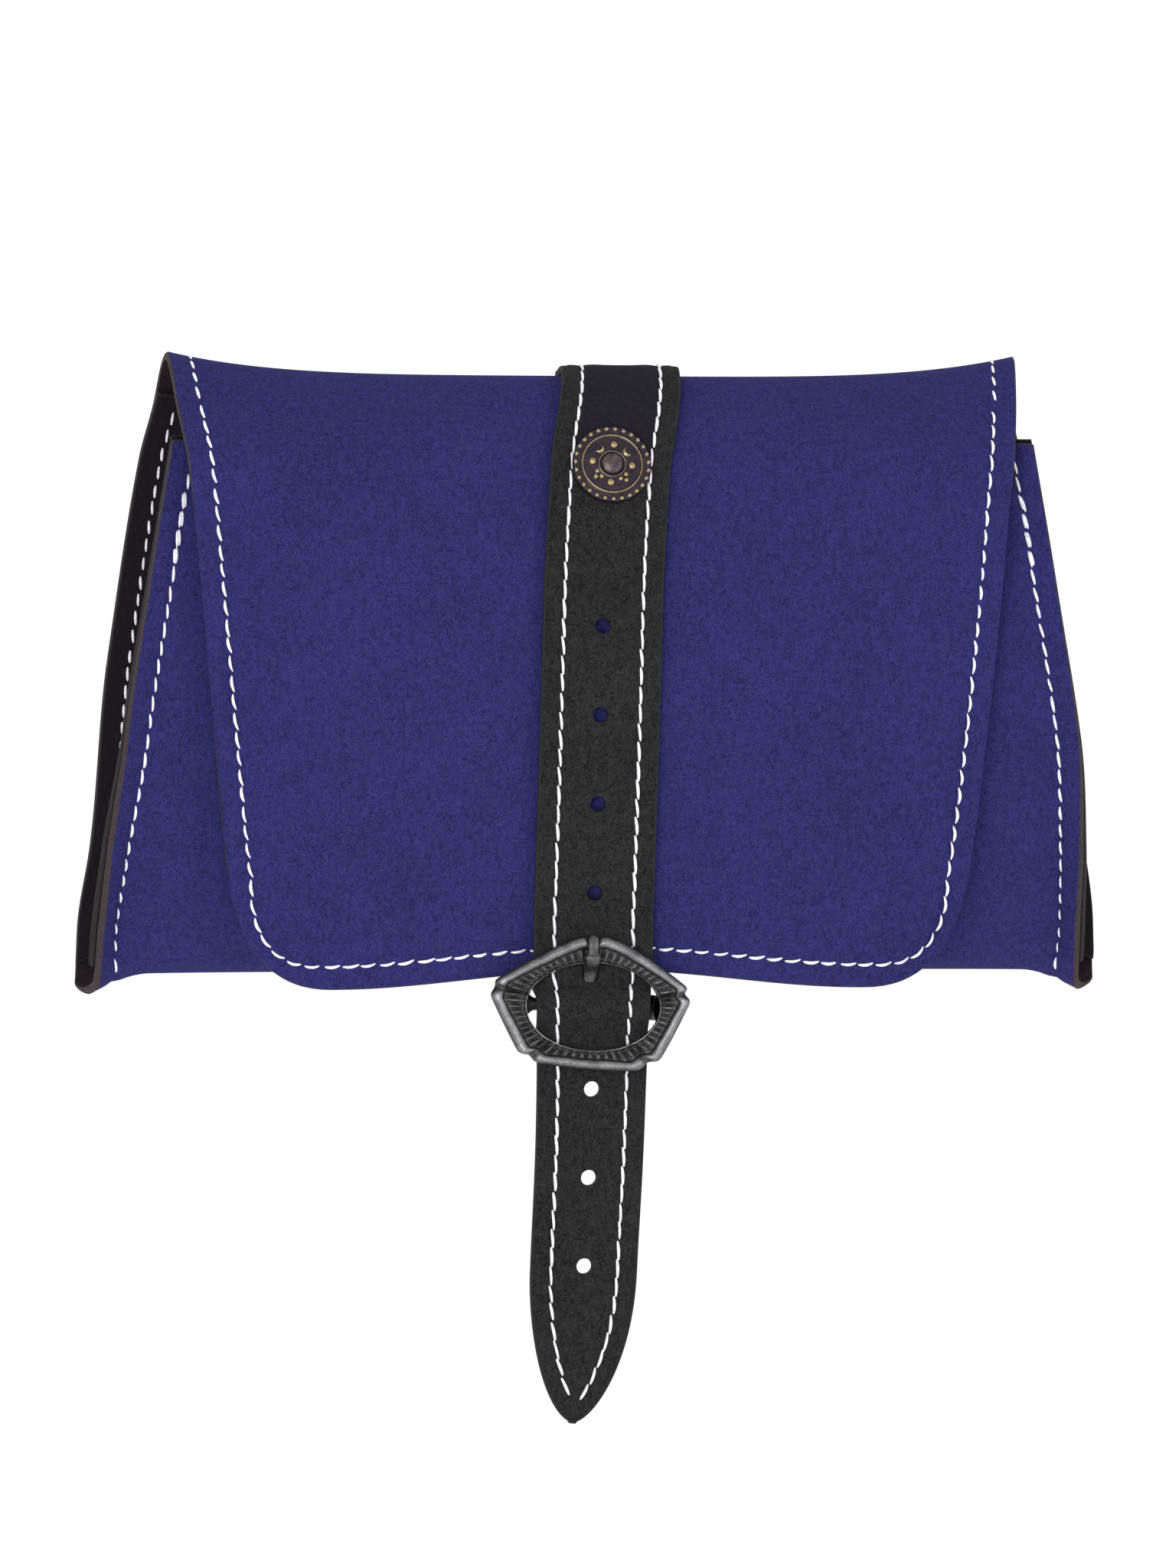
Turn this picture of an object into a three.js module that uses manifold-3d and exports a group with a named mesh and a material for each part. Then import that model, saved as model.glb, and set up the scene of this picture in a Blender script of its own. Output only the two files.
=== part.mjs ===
// A medieval belt pouch of suede, closed, as it hangs on its belt.
// One long sheet of leather is the front, the bottom fold, the back and the flap that comes over.
// A gusset closes each end, with its seams turned outward. A strap makes the belt loop at the back,
// runs over the ridge and down the flap, is held there by a riveted concho, and is buckled at the
// bottom by a cast frame buckle. Its pointed tail hangs free below.
// Millimetres. +Z is up, the front faces -Y, and +X is to the right of someone facing the pouch.
// The origin is the middle of the belt tunnel, where the belt carries the pouch.
import * as THREE from 'three';
import { mergeVertices } from 'three/addons/utils/BufferGeometryUtils.js';
import Module from 'manifold-3d';

// Bag
const bagHeight = 150; // bottom fold to ridge, at the middle of the sheet
const bagDepth = 43; // back panel to the fullest part of the front, middle to middle of the leather
const bottomWidth = 262; // across the back panel's lower corners, edge to edge
const ridgeWidth = 217;
const bodyThickness = 2.2;
const gussetThickness = 1.8;
const seamMargin = 5.5; // stitch line to cut edge
const earDrop = 4; // how far the seam edges hang below the bottom fold
const gussetRise = 1.3; // gusset top over the front panel's top edge
const gussetFloor = 5; // lower end of the gussets over the bottom fold
const flapArch = 3.4; // half the rise of the flap's lower edge towards its middle
const flapCornerWidth = 22.7;
const flapCornerHeight = 27.1;

// Strap
const strapThickness = 2.6;
const strapWidth = 30;
const strapLean = 7.5; // sideways offset of the strap where it crosses the ridge
const tailDrop = 112; // tip of the strap below the bottom fold
const pointLength = 38;
const holeDiameter = 4;
const holePitch = 22.3;
const beltGap = 7; // clear depth of the belt tunnel
const beltHeight = 112; // middle of the belt tunnel over the bottom fold
const beltRoom = 56; // clear height of the belt tunnel
const patchLength = 18; // sewn down below the belt tunnel

// Buckle
const buckleWidth = 48.3;
const buckleHeight = 33.8;
const buckleDrop = 7.4; // middle of the bar below the bottom fold
const buckleTilt = 2; // degrees, clockwise from the front
const openingWidth = 34.4;
const openingHeight = 22;
const frameThickness = 3.4;
const barRadius = 1.6;
const legWidth = 2.8;
const strapSlack = 1.2; // room on each side of the strap between the legs
const strapArch = 2.3; // rise of the strap over the bar
const strapLift = 1.2; // rise of the strap from the flap's face to the frame
const tongueWidth = 3.7;
const tongueThickness = 2.2;
const tongueNotch = 1.2;
const chapeThickness = 2;
const chapeWidth = 22;
const chapeRise = 40; // upper end of the chape on the back panel over the bottom fold

// Concho
const conchoDiameter = 20;
const conchoDrop = 23; // below the ridge
const conchoThickness = 1.2;
const conchoBeads = 27;
const beadHeight = 0.7;
const domeDiameter = 5.4;
const domeHeight = 1.3;
const postDiameter = 3;
const capDiameter = 9;
const capThickness = 1;

const fitGap = 0.3; // between pieces that lie on each other
const capSeat = 0.6; // between the flat cap and the curved inside of the flap
const rimGap = 0.6; // between the strap and the back of the buckle frame

// Course of the body sheet from the front panel's top edge, round the bottom, up the back, over the
// ridge and down the flap. z is a share of bagHeight; mid and seam are shares of bagDepth at the
// middle and at the stitch line; rise is what the seam lies over the middle, a share of bagHeight;
// blend goes from bottomWidth to ridgeWidth; taper is a share of that width; flare is the seam
// margin's turn to the front in degrees; ear is a share of earDrop; layer counts leather below.
const course = [
  { z: 0.893, mid: 0.602, seam: 0.649, rise: 0, blend: 0.956, taper: 1, flare: 5, ear: 0, layer: 0 },
  { z: 0.667, mid: 0.788, seam: 0.707, rise: 0, blend: 0.711, taper: 1, flare: 10, ear: 0, layer: 0 },
  { z: 0.4, mid: 0.881, seam: 0.719, rise: 0, blend: 0.467, taper: 1, flare: 20, ear: 0, layer: 0 },
  { z: 0.2, mid: 0.847, seam: 0.579, rise: 0, blend: 0.378, taper: 1, flare: 38, ear: 0, layer: 0 },
  { z: 0.08, mid: 0.719, seam: 0.37, rise: 0, blend: 0.31, taper: 1, flare: 50, ear: 0.2, layer: 0 },
  { z: 0.023, mid: 0.579, seam: 0.253, rise: -0.01, blend: 0.26, taper: 1, flare: 32, ear: 1, layer: 0 },
  { z: 0.007, mid: 0.416, seam: 0.184, rise: -0.007, blend: 0.14, taper: 1, flare: 0, ear: 1, layer: 0 },
  { z: 0.02, mid: 0.184, seam: 0.114, rise: -0.01, blend: 0, taper: 1, flare: 0, ear: 0.9, layer: 0 },
  { z: 0.08, mid: 0.033, seam: 0.056, rise: 0, blend: 0.02, taper: 1, flare: 0, ear: 0.3, layer: 0 },
  { z: 0.2, mid: 0, seam: 0, rise: 0, blend: 0.15, taper: 1, flare: 0, ear: 0, layer: 0 },
  { z: 0.533, mid: 0, seam: 0, rise: 0, blend: 0.43, taper: 1, flare: 0, ear: 0, layer: 0 },
  { z: 0.867, mid: 0, seam: 0, rise: 0, blend: 0.78, taper: 1, flare: 0, ear: 0, layer: 0 },
  { z: 0.953, mid: 0.033, seam: 0.04, rise: 0.01, blend: 0.93, taper: 1, flare: 0, ear: 0, layer: 0 },
  { z: 1, mid: 0.29, seam: 0.31, rise: 0.037, blend: 1, taper: 1, flare: 0, ear: 0, layer: 0.5 },
  { z: 0.947, mid: 0.528, seam: 0.598, rise: 0, blend: 1, taper: 0.982, flare: 0, ear: 0, layer: 1 },
  { z: 0.847, mid: 0.726, seam: 0.796, rise: 0, blend: 1, taper: 0.961, flare: 0, ear: 0, layer: 1 },
  { z: 0.667, mid: 0.865, seam: 0.819, rise: 0, blend: 1, taper: 0.938, flare: -4, ear: 0, layer: 1 },
  { z: 0.4, mid: 0.947, seam: 0.842, rise: 0, blend: 1, taper: 0.903, flare: -6, ear: 0, layer: 1 },
  { z: 0.2, mid: 0.923, seam: 0.819, rise: 0, blend: 1, taper: 0.873, flare: -6, ear: 0, layer: 1 },
  { z: 0.093, mid: 0.877, seam: 0.796, rise: 0, blend: 1, taper: 0.851, flare: -6, ear: 0, layer: 1 },
  { z: -0.053, mid: 0.819, seam: 0.761, rise: 0, blend: 1, taper: 0.83, flare: -6, ear: 0, layer: 1 },
];
const bottomRow = 6;
const backLowRow = 7;
const ridgeRow = 13;
const flapRow = 15;
const rowsBetween = [3, 3, 3, 3, 3, 2, 2, 2, 3, 1, 1, 2, 4, 4, 2];
const flapRows = 10;
const fullness = 2.2; // how flat the middle of each panel stays before it turns to its edges

// Sideways offset of the strap, as a share of strapLean. z is a share of bagHeight above the bottom
// fold and of tailDrop below it.
const lean = [
  { z: 1.02, x: 1 },
  { z: 0.98, x: 0.87 },
  { z: 0.847, x: 0.41 },
  { z: 0.6, x: 0.07 },
  { z: 0.067, x: -0.21 },
  { z: -0.066, x: -0.24 },
  { z: -0.25, x: -0.29 },
  { z: -0.55, x: -0.47 },
  { z: -0.81, x: -0.67 },
  { z: -1, x: -0.96 },
];

const wasm = await Module();
wasm.setup();

// Smooth curve through values at rising stations that never swings past them.
function smooth(stations, values) {
  const last = stations.length - 1;
  const slope = (i) => (values[i + 1] - values[i]) / (stations[i + 1] - stations[i]);
  const tangents = stations.map((station, i) => {
    if (i === 0) return slope(0);
    if (i === last) return slope(last - 1);
    const before = slope(i - 1);
    const after = slope(i);
    if (before * after <= 0) return 0;
    const near = stations[i] - stations[i - 1];
    const far = stations[i + 1] - stations[i];
    return (3 * (near + far)) / ((2 * far + near) / before + (far + 2 * near) / after);
  });
  return (s) => {
    if (s <= stations[0]) return values[0] + tangents[0] * (s - stations[0]);
    if (s >= stations[last]) return values[last] + tangents[last] * (s - stations[last]);
    let i = 0;
    while (s > stations[i + 1]) i += 1;
    const h = stations[i + 1] - stations[i];
    const q = (s - stations[i]) / h;
    const p = 1 - q;
    return values[i] * (1 + 2 * q) * p * p + tangents[i] * h * q * p * p
      + values[i + 1] * (3 - 2 * q) * q * q - tangents[i + 1] * h * q * q * p;
  };
}

const mix = (a, b, q) => a + (b - a) * q;
const radians = THREE.MathUtils.degToRad;

// x is across the bag, d is forward from the rear face of the back panel, z is over the bottom fold.
function place(x, d, z) {
  return new THREE.Vector3(x, -d - beltGap / 2, z - beltHeight);
}

// Lengths of the course rows and the curves through them.
const rowDepth = (row, share) => bodyThickness * (0.5 + row.layer) + bagDepth * share;
const rowHalf = (row) => mix(bottomWidth, ridgeWidth, row.blend) / 2 * row.taper;
const stations = [0];
for (let i = 1; i < course.length; i += 1) {
  const depthStep = rowDepth(course[i], course[i].mid) - rowDepth(course[i - 1], course[i - 1].mid);
  const heightStep = bagHeight * (course[i].z - course[i - 1].z);
  stations.push(stations[i - 1] + Math.hypot(depthStep, heightStep));
}
const midDepth = smooth(stations, course.map((row) => rowDepth(row, row.mid)));
const seamDepth = smooth(stations, course.map((row) => rowDepth(row, row.seam)));
const midHeight = smooth(stations, course.map((row) => bagHeight * row.z));
const seamHeight = smooth(stations, course.map((row) => bagHeight * (row.z + row.rise)));
const halfWidth = smooth(stations, course.map(rowHalf));
const flareAngle = smooth(stations, course.map((row) => radians(row.flare)));
const earSag = smooth(stations, course.map((row) => earDrop * row.ear));
const stitchHalf = (s) => halfWidth(s) - seamMargin * Math.cos(flareAngle(s));

// Point of the sheet's middle surface. c runs from -1 to 1 between the stitch lines, and on to -2
// and 2 across the seam margins.
function bodyPoint(s, c) {
  const side = Math.sign(c);
  const inner = Math.min(Math.abs(c), 1);
  const margin = Math.max(Math.abs(c) - 1, 0) * seamMargin;
  const turn = Math.pow(inner, fullness);
  const x = inner * stitchHalf(s) + margin * Math.cos(flareAngle(s));
  const d = mix(midDepth(s), seamDepth(s), turn) + margin * Math.sin(flareAngle(s));
  const z = mix(midHeight(s), seamHeight(s), turn) - earSag(s) * margin / seamMargin;
  return place(side * x, d, z);
}

// Outward unit normal of the sheet.
function bodyNormal(s, c) {
  const step = 0.01;
  const along = bodyPoint(s + step, c).sub(bodyPoint(s - step, c));
  const across = bodyPoint(s, c + step).sub(bodyPoint(s, c - step));
  return along.cross(across).normalize();
}

// Height of the flap's lower edge, q of the way from the middle to the side edge.
function flapEdge(q, half) {
  const straight = half - flapCornerWidth;
  const x = q * half;
  if (x <= straight) return flapArch * Math.cos(Math.PI * x / straight);
  const roundness = 2.3;
  const reach = Math.min((x - straight) / flapCornerWidth, 1);
  const fall = Math.pow(1 - Math.pow(reach, roundness), 1 / roundness);
  return flapCornerHeight * (1 - fall) - flapArch;
}

// Station where a column of the sheet reaches the flap's lower edge.
function flapEnd(c) {
  let low = stations[flapRow];
  let high = stations[stations.length - 1];
  for (let i = 0; i < 40; i += 1) {
    const s = (low + high) / 2;
    const point = bodyPoint(s, c);
    const q = Math.min(Math.abs(point.x) / halfWidth(s), 1);
    if (point.z + beltHeight > flapEdge(q, halfWidth(s))) low = s;
    else high = s;
  }
  return (low + high) / 2;
}

// Closed solid of a grid of middle-surface points, with an even thickness.
function sheet(grid, thickness) {
  const rows = grid.length;
  const columns = grid[0].length;
  const at = (r, c) => grid[Math.min(Math.max(r, 0), rows - 1)][Math.min(Math.max(c, 0), columns - 1)];
  const positions = [];
  for (const side of [0.5, -0.5]) {
    for (let r = 0; r < rows; r += 1) {
      for (let c = 0; c < columns; c += 1) {
        const along = at(r + 1, c).clone().sub(at(r - 1, c));
        const across = at(r, c + 1).clone().sub(at(r, c - 1));
        const normal = along.cross(across).normalize();
        positions.push(...at(r, c).clone().addScaledVector(normal, side * thickness).toArray());
      }
    }
  }
  const index = [];
  const front = (r, c) => r * columns + c;
  const back = (r, c) => (rows + r) * columns + c;
  const quad = (a, b, c, d) => index.push(a, b, c, a, c, d);
  for (let r = 0; r < rows - 1; r += 1) {
    for (let c = 0; c < columns - 1; c += 1) {
      quad(front(r, c), front(r + 1, c), front(r + 1, c + 1), front(r, c + 1));
      quad(back(r, c), back(r, c + 1), back(r + 1, c + 1), back(r + 1, c));
    }
    const end = columns - 1;
    quad(front(r, 0), back(r, 0), back(r + 1, 0), front(r + 1, 0));
    quad(front(r, end), front(r + 1, end), back(r + 1, end), back(r, end));
  }
  for (let c = 0; c < columns - 1; c += 1) {
    const end = rows - 1;
    quad(front(0, c), front(0, c + 1), back(0, c + 1), back(0, c));
    quad(front(end, c), back(end, c), back(end, c + 1), front(end, c + 1));
  }
  const geometry = new THREE.BufferGeometry();
  geometry.setAttribute('position', new THREE.Float32BufferAttribute(positions, 3));
  geometry.setIndex(index);
  return geometry;
}

function toSolid(geometry) {
  const bare = geometry.clone();
  bare.deleteAttribute('normal');
  bare.deleteAttribute('uv');
  const merged = mergeVertices(bare, 1e-4);
  const vertProperties = new Float32Array(merged.attributes.position.array);
  const triVerts = new Uint32Array(merged.index.array);
  return new wasm.Manifold(new wasm.Mesh({ numProp: 3, vertProperties, triVerts }));
}

function toGeometry(solid) {
  const mesh = solid.getMesh();
  const geometry = new THREE.BufferGeometry();
  geometry.setAttribute('position', new THREE.BufferAttribute(new Float32Array(mesh.vertProperties), 3));
  geometry.setIndex(new THREE.BufferAttribute(new Uint32Array(mesh.triVerts), 1));
  return geometry;
}

// Cylinder whose axis runs along a direction, with its middle at a point.
function pin(radius, length, sides, middle, direction) {
  const geometry = new THREE.CylinderGeometry(radius, radius, length, sides);
  const turn = new THREE.Quaternion().setFromUnitVectors(new THREE.Vector3(0, 1, 0), direction);
  geometry.applyQuaternion(turn);
  geometry.translate(middle.x, middle.y, middle.z);
  return geometry;
}

// Columns across the sheet, closer together towards the edges.
function bodyColumns() {
  const inner = 7;
  const columns = [];
  for (let i = -inner; i <= inner; i += 1) columns.push(Math.sin((i / inner) * Math.PI / 2));
  for (const m of [0.4, 0.75, 0.93, 1]) {
    columns.push(1 + m);
    columns.unshift(-1 - m);
  }
  return columns;
}

const rowStations = rowsBetween.flatMap((count, i) => {
  return Array.from({ length: count }, (_, k) => mix(stations[i], stations[i + 1], k / count));
});

function bodySheet() {
  const columns = bodyColumns();
  const grid = rowStations.map((s) => columns.map((c) => bodyPoint(s, c)));
  const ends = columns.map(flapEnd);
  for (let k = 0; k <= flapRows; k += 1) {
    grid.push(columns.map((c, i) => bodyPoint(mix(stations[flapRow], ends[i], k / flapRows), c)));
  }
  return sheet(grid, bodyThickness);
}

// Station on a stretch of the course where the seam has a given height.
function seamStation(height, from, to) {
  let low = stations[from];
  let high = stations[to];
  const rising = seamHeight(high) > seamHeight(low);
  for (let i = 0; i < 40; i += 1) {
    const s = (low + high) / 2;
    if ((seamHeight(s) < height) === rising) low = s;
    else high = s;
  }
  return (low + high) / 2;
}

// Section of a gusset: front flange behind the front margin, a web that sinks inward, rear flange
// before the back margin.
function gussetSection(height, side) {
  const top = bagHeight * course[0].z;
  const frontStation = seamStation(Math.min(height, top), 0, bottomRow);
  const backStation = seamStation(height, backLowRow, ridgeRow);
  const offset = (bodyThickness + gussetThickness) / 2 + fitGap;
  const lift = new THREE.Vector3(0, 0, Math.max(height - top, 0));
  const flange = (s, c) => {
    return bodyPoint(s, side * c).addScaledVector(bodyNormal(s, side * 1.5), -offset);
  };
  const open = Math.min(Math.max((height - gussetFloor) / (bagHeight * 0.17), 0), 1);
  const inner = mix(1.3, 1, open);
  const front = [2, (2 + inner) / 2, inner].map((c) => flange(frontStation, c).add(lift));
  const back = [2, (2 + inner) / 2, inner].map((c) => flange(backStation, c));
  const reach = front[2].distanceTo(back[2]) * mix(0.35, 0.45, open);
  const web = new THREE.CubicBezierCurve3(
    front[2],
    front[2].clone().addScaledVector(front[2].clone().sub(front[0]).normalize(), reach),
    back[2].clone().addScaledVector(back[2].clone().sub(back[0]).normalize(), reach),
    back[2],
  ).getPoints(8).slice(1, -1);
  const section = [...front, ...web, ...back.reverse()];
  return side > 0 ? section : section.reverse();
}

// A gusset has its rows at the same heights as the front panel's, so that the two lie flat together.
function gusset(side) {
  const frontRows = rowStations.filter((s) => s < stations[bottomRow]).map(seamHeight);
  const heights = frontRows.filter((height) => height > gussetFloor + gussetRise);
  heights.unshift(heights[0] + gussetRise);
  heights.push(gussetFloor);
  return sheet(heights.map((height) => gussetSection(height, side)), gussetThickness);
}

// The strap's sideways offset at a height over the bottom fold.
const leanCurve = smooth(
  lean.map((row) => -row.z * (row.z > 0 ? bagHeight : tailDrop)),
  lean.map((row) => row.x * strapLean),
);
const strapX = (z) => leanCurve(-z);

// The buckle's stack of leather and metal from the flap outward.
const edgeStation = stations[stations.length - 2];
const barX = strapX(-buckleDrop);
const flapFace = midDepth(edgeStation) + bodyThickness / 2;
const strapOnFlap = flapFace + fitGap + strapThickness / 2;
const strapAtRim = strapOnFlap + strapLift;
const strapOverBar = strapAtRim + strapArch;
const barDepth = strapOverBar - strapThickness / 2 - chapeThickness - fitGap - rimGap - barRadius;
const frameBack = strapAtRim + strapThickness / 2 + rimGap;
const frameFront = frameBack + frameThickness;

// Middle line of the strap, from the sewn patch behind the bag to the tip.
function strapLine() {
  const points = [];
  const add = (d, z) => points.push(place(strapX(z), d, z));
  const addBehind = (d, z) => points.push(place(strapLean, d, z));
  const onBack = -fitGap - strapThickness / 2;
  const loopDepth = -beltGap - strapThickness / 2;
  const loopTop = beltHeight + beltRoom / 2;
  const loopBottom = beltHeight - beltRoom / 2;
  addBehind(onBack, loopBottom - patchLength - beltGap);
  addBehind(onBack, loopBottom - patchLength / 2 - beltGap);
  addBehind(onBack, loopBottom - beltGap * 1.2);
  addBehind(onBack - fitGap / 2, loopBottom - beltGap);
  addBehind(loopDepth, loopBottom);
  addBehind(loopDepth, beltHeight);
  addBehind(loopDepth, loopTop);
  const offset = (bodyThickness + strapThickness) / 2 + fitGap;
  const crown = stations[ridgeRow];
  const start = mix(stations[ridgeRow - 1], crown, 0.7);
  const follow = (s) => {
    const onSheet = (x) => bodyPoint(s, x / stitchHalf(s));
    const x = strapX(midHeight(s));
    const normal = bodyNormal(s, x / stitchHalf(s));
    const edges = [-1, 1].map((side) => onSheet(x + side * strapWidth / 2));
    const swell = Math.max(0, ...edges.map((edge) => edge.sub(onSheet(x)).dot(normal)));
    return onSheet(x).addScaledVector(normal, offset + swell);
  };
  addBehind(loopDepth + beltGap * 0.45, bagHeight);
  const steps = 26;
  for (let k = 0; k <= steps; k += 1) points.push(follow(mix(start, edgeStation, k / steps)));
  const buckleSteps = [
    [0.78, strapAtRim - strapLift * 0.3],
    [0.55, strapAtRim],
    [0.235, strapAtRim],
    [0.15, strapAtRim + strapArch * 0.55],
    [0, strapOverBar],
    [-0.15, strapAtRim + strapArch * 0.55],
    [-0.25, strapAtRim],
    [-0.55, strapAtRim],
    [-0.8, strapAtRim - strapLift * 0.3],
  ];
  for (const [share, d] of buckleSteps) add(d, -buckleDrop + share * openingHeight);
  for (const share of [0.4, 0.6, 0.8, 1]) add(strapAtRim - strapLift * share, -tailDrop * share);
  return new THREE.CatmullRomCurve3(points, false, 'centripetal');
}

const strapPath = strapLine();
const strapLength = strapPath.getLength();

// Shares of a curve's length, closer together where it bends. roundness is the length that a bend of
// one radian counts for.
function bentShares(curve, count, roundness) {
  const samples = 800;
  const measure = [0];
  let before = curve.getTangentAt(0);
  const step = curve.getLength() / samples;
  for (let i = 1; i <= samples; i += 1) {
    const tangent = curve.getTangentAt(i / samples);
    measure.push(measure[i - 1] + step + roundness * before.angleTo(tangent));
    before = tangent;
  }
  const shares = [];
  let i = 0;
  for (let k = 0; k < count; k += 1) {
    const goal = measure[samples] * k / count;
    while (measure[i + 1] < goal) i += 1;
    shares.push((i + (goal - measure[i]) / (measure[i + 1] - measure[i])) / samples);
  }
  return [...shares, 1];
}

// Strap width at a height over the bottom fold, down to the pointed tip.
function strapHalf(z) {
  const below = smooth([0, buckleHeight, tailDrop], [0, 0.09, 0.115])(Math.max(-z, 0));
  const q = Math.min(Math.max((-z - tailDrop + pointLength) / pointLength, 0), 0.995);
  return strapWidth / 2 * (1 - below) * Math.pow(1 - q * q, 0.625);
}

// Point of the strap's middle surface, its side direction and its outward normal.
function strapFrame(share) {
  const point = strapPath.getPointAt(share);
  const tangent = strapPath.getTangentAt(share);
  const across = new THREE.Vector3(1, 0, 0);
  across.addScaledVector(tangent, -tangent.x).normalize();
  const normal = tangent.clone().cross(across).normalize();
  return { point, across, normal };
}

function strapSheet() {
  const tip = 1 - pointLength / strapLength;
  const shares = bentShares(strapPath, 74, 60).filter((share) => share < tip);
  for (let k = 0; k <= 10; k += 1) shares.push(mix(tip, 1, Math.sin(k / 10 * Math.PI / 2)));
  const grid = shares.map((share) => {
    const { point, across } = strapFrame(share);
    const half = strapHalf(point.z + beltHeight);
    return [-1, 0, 1].map((v) => point.clone().addScaledVector(across, v * half));
  });
  return sheet(grid, strapThickness);
}

// Share of the strap's length where its front run has a given height over the bottom fold.
function strapShare(height) {
  let low = 0.3;
  let high = 1;
  for (let i = 0; i < 40; i += 1) {
    const share = (low + high) / 2;
    if (strapPath.getPointAt(share).z + beltHeight > height) low = share;
    else high = share;
  }
  return (low + high) / 2;
}

// Buckle: outline corners as shares of buckleWidth and buckleHeight from the bar's middle, and how
// far the petal after each corner swells, as a share of its distance from there.
const petals = [
  { x: 0, z: 0.503, swell: 0.1 },
  { x: 0.497, z: 0.13, swell: 0.01 },
  { x: 0.315, z: -0.446, swell: 0.02 },
  { x: -0.31, z: -0.4, swell: 0.01 },
  { x: -0.5, z: 0.13, swell: 0.1 },
];
const cornerNick = 0.05; // by which each corner is drawn in between two petals, as a like share
const openingShift = -0.027; // of the opening's middle, as a share of buckleHeight

function buckleTurn(geometry) {
  const middle = place(barX, barDepth, -buckleDrop);
  geometry.translate(-middle.x, -middle.y, -middle.z);
  geometry.rotateY(radians(buckleTilt));
  geometry.translate(middle.x, middle.y, middle.z);
  return geometry;
}

// Cross sections of the cast frame run from the opening's edge to the outline. across is a share of
// that width and rise a share of frameThickness over the back.
const frameProfile = [
  { across: 0.04, rise: 0 },
  { across: 0, rise: 0.35 },
  { across: 0.05, rise: 0.85 },
  { across: 0.16, rise: 0.92 },
  { across: 0.28, rise: 0.72 },
  { across: 0.7, rise: 0.8 },
  { across: 0.86, rise: 1 },
  { across: 1, rise: 0.7 },
  { across: 0.94, rise: 0 },
];

function frameRing() {
  const steps = 11;
  const sections = [];
  petals.forEach((corner, i) => {
    const next = petals[(i + 1) % petals.length];
    for (let k = 0; k < steps; k += 1) {
      const q = k / steps;
      const swell = 1 + corner.swell * 4 * q * (1 - q) - (k === 0 ? cornerNick : 0);
      const outX = mix(corner.x, next.x, q) * buckleWidth * swell;
      const outZ = mix(corner.z, next.z, q) * buckleHeight * swell;
      const shift = openingShift * buckleHeight;
      const angle = Math.atan2((outZ - shift) / openingHeight, outX / openingWidth);
      const inX = Math.cos(angle) * openingWidth / 2;
      const inZ = Math.sin(angle) * openingHeight / 2 + shift;
      sections.push(frameProfile.map((row) => place(
        barX + mix(inX, outX, row.across),
        frameBack + row.rise * frameThickness,
        -buckleDrop + mix(inZ, outZ, row.across),
      )));
    }
  });
  const count = frameProfile.length;
  const positions = sections.flat().flatMap((point) => point.toArray());
  const index = [];
  sections.forEach((section, i) => {
    const next = (i + 1) % sections.length;
    for (let j = 0; j < count; j += 1) {
      const up = (j + 1) % count;
      const a = i * count + j;
      const b = next * count + j;
      const c = next * count + up;
      const d = i * count + up;
      index.push(a, b, c, a, c, d);
    }
  });
  const geometry = new THREE.BufferGeometry();
  geometry.setAttribute('position', new THREE.Float32BufferAttribute(positions, 3));
  geometry.setIndex(index);
  return geometry;
}

// The bar lies behind the strap, and a leg at each end joins it to the back of the frame.
const legInside = strapWidth / 2 + strapSlack;

function buckleFrame() {
  let solid = toSolid(frameRing());
  const barLength = 2 * (legInside + legWidth / 2);
  const middle = place(barX, barDepth, -buckleDrop);
  solid = solid.add(toSolid(pin(barRadius, barLength, 16, middle, new THREE.Vector3(1, 0, 0))));
  const reach = frameBack - barDepth + barRadius + frameThickness * 0.3;
  for (const side of [-1, 1]) {
    const leg = new THREE.BoxGeometry(legWidth, reach, barRadius * 2.4);
    const x = barX + side * (legInside + legWidth / 2);
    const spot = place(x, barDepth - barRadius + reach / 2, -buckleDrop);
    leg.translate(spot.x, spot.y, spot.z);
    solid = solid.add(toSolid(leg));
  }
  const turned = buckleTurn(toGeometry(solid));
  return toGeometry(toSolid(turned).subtract(toSolid(tongue(fitGap))));
}

// Tongue: a loop round the bar and a finger that passes through the strap and rests in the notch.
// grow widens every face, for the holes and the notch that it sits in.
function tongue(grow) {
  const ringInner = barRadius + fitGap - grow;
  const ringOuter = ringInner + chapeThickness + 2 * grow;
  const half = tongueWidth / 2 + grow;
  const ring = new THREE.LatheGeometry([
    new THREE.Vector2(ringInner, -half),
    new THREE.Vector2(ringOuter, -half),
    new THREE.Vector2(ringOuter, half),
    new THREE.Vector2(ringInner, half),
    new THREE.Vector2(ringInner, -half),
  ], 24);
  ring.rotateZ(-Math.PI / 2);
  const middle = place(barX, barDepth, -buckleDrop);
  ring.translate(middle.x, middle.y, middle.z);
  const rest = frameFront - tongueNotch + tongueThickness / 2;
  const top = petals[0].z * buckleHeight;
  const line = new THREE.CatmullRomCurve3([
    place(barX, barDepth + ringOuter * 0.42, -buckleDrop + ringOuter * 0.66),
    place(barX, barDepth + ringOuter * 1.02, -buckleDrop + openingHeight * 0.27),
    place(barX, mix(barDepth, rest, 0.7), -buckleDrop + openingHeight * 0.4),
    place(barX, rest - 0.2, -buckleDrop + openingHeight * 0.52),
    place(barX, rest, -buckleDrop + top * 0.85),
    place(barX, rest - 0.3, -buckleDrop + top + 0.9 + grow),
  ], false, 'centripetal');
  const grid = [];
  const rows = 14;
  for (let k = 0; k <= rows; k += 1) {
    const point = line.getPointAt(k / rows);
    const narrow = 1 - 0.25 * Math.pow(k / rows, 3);
    grid.push([-1, 1].map((v) => point.clone().add(new THREE.Vector3(v * half * narrow, 0, 0))));
  }
  grid.reverse();
  const finger = sheet(grid, tongueThickness + 2 * grow);
  return buckleTurn(toGeometry(toSolid(ring).add(toSolid(finger))));
}

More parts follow.
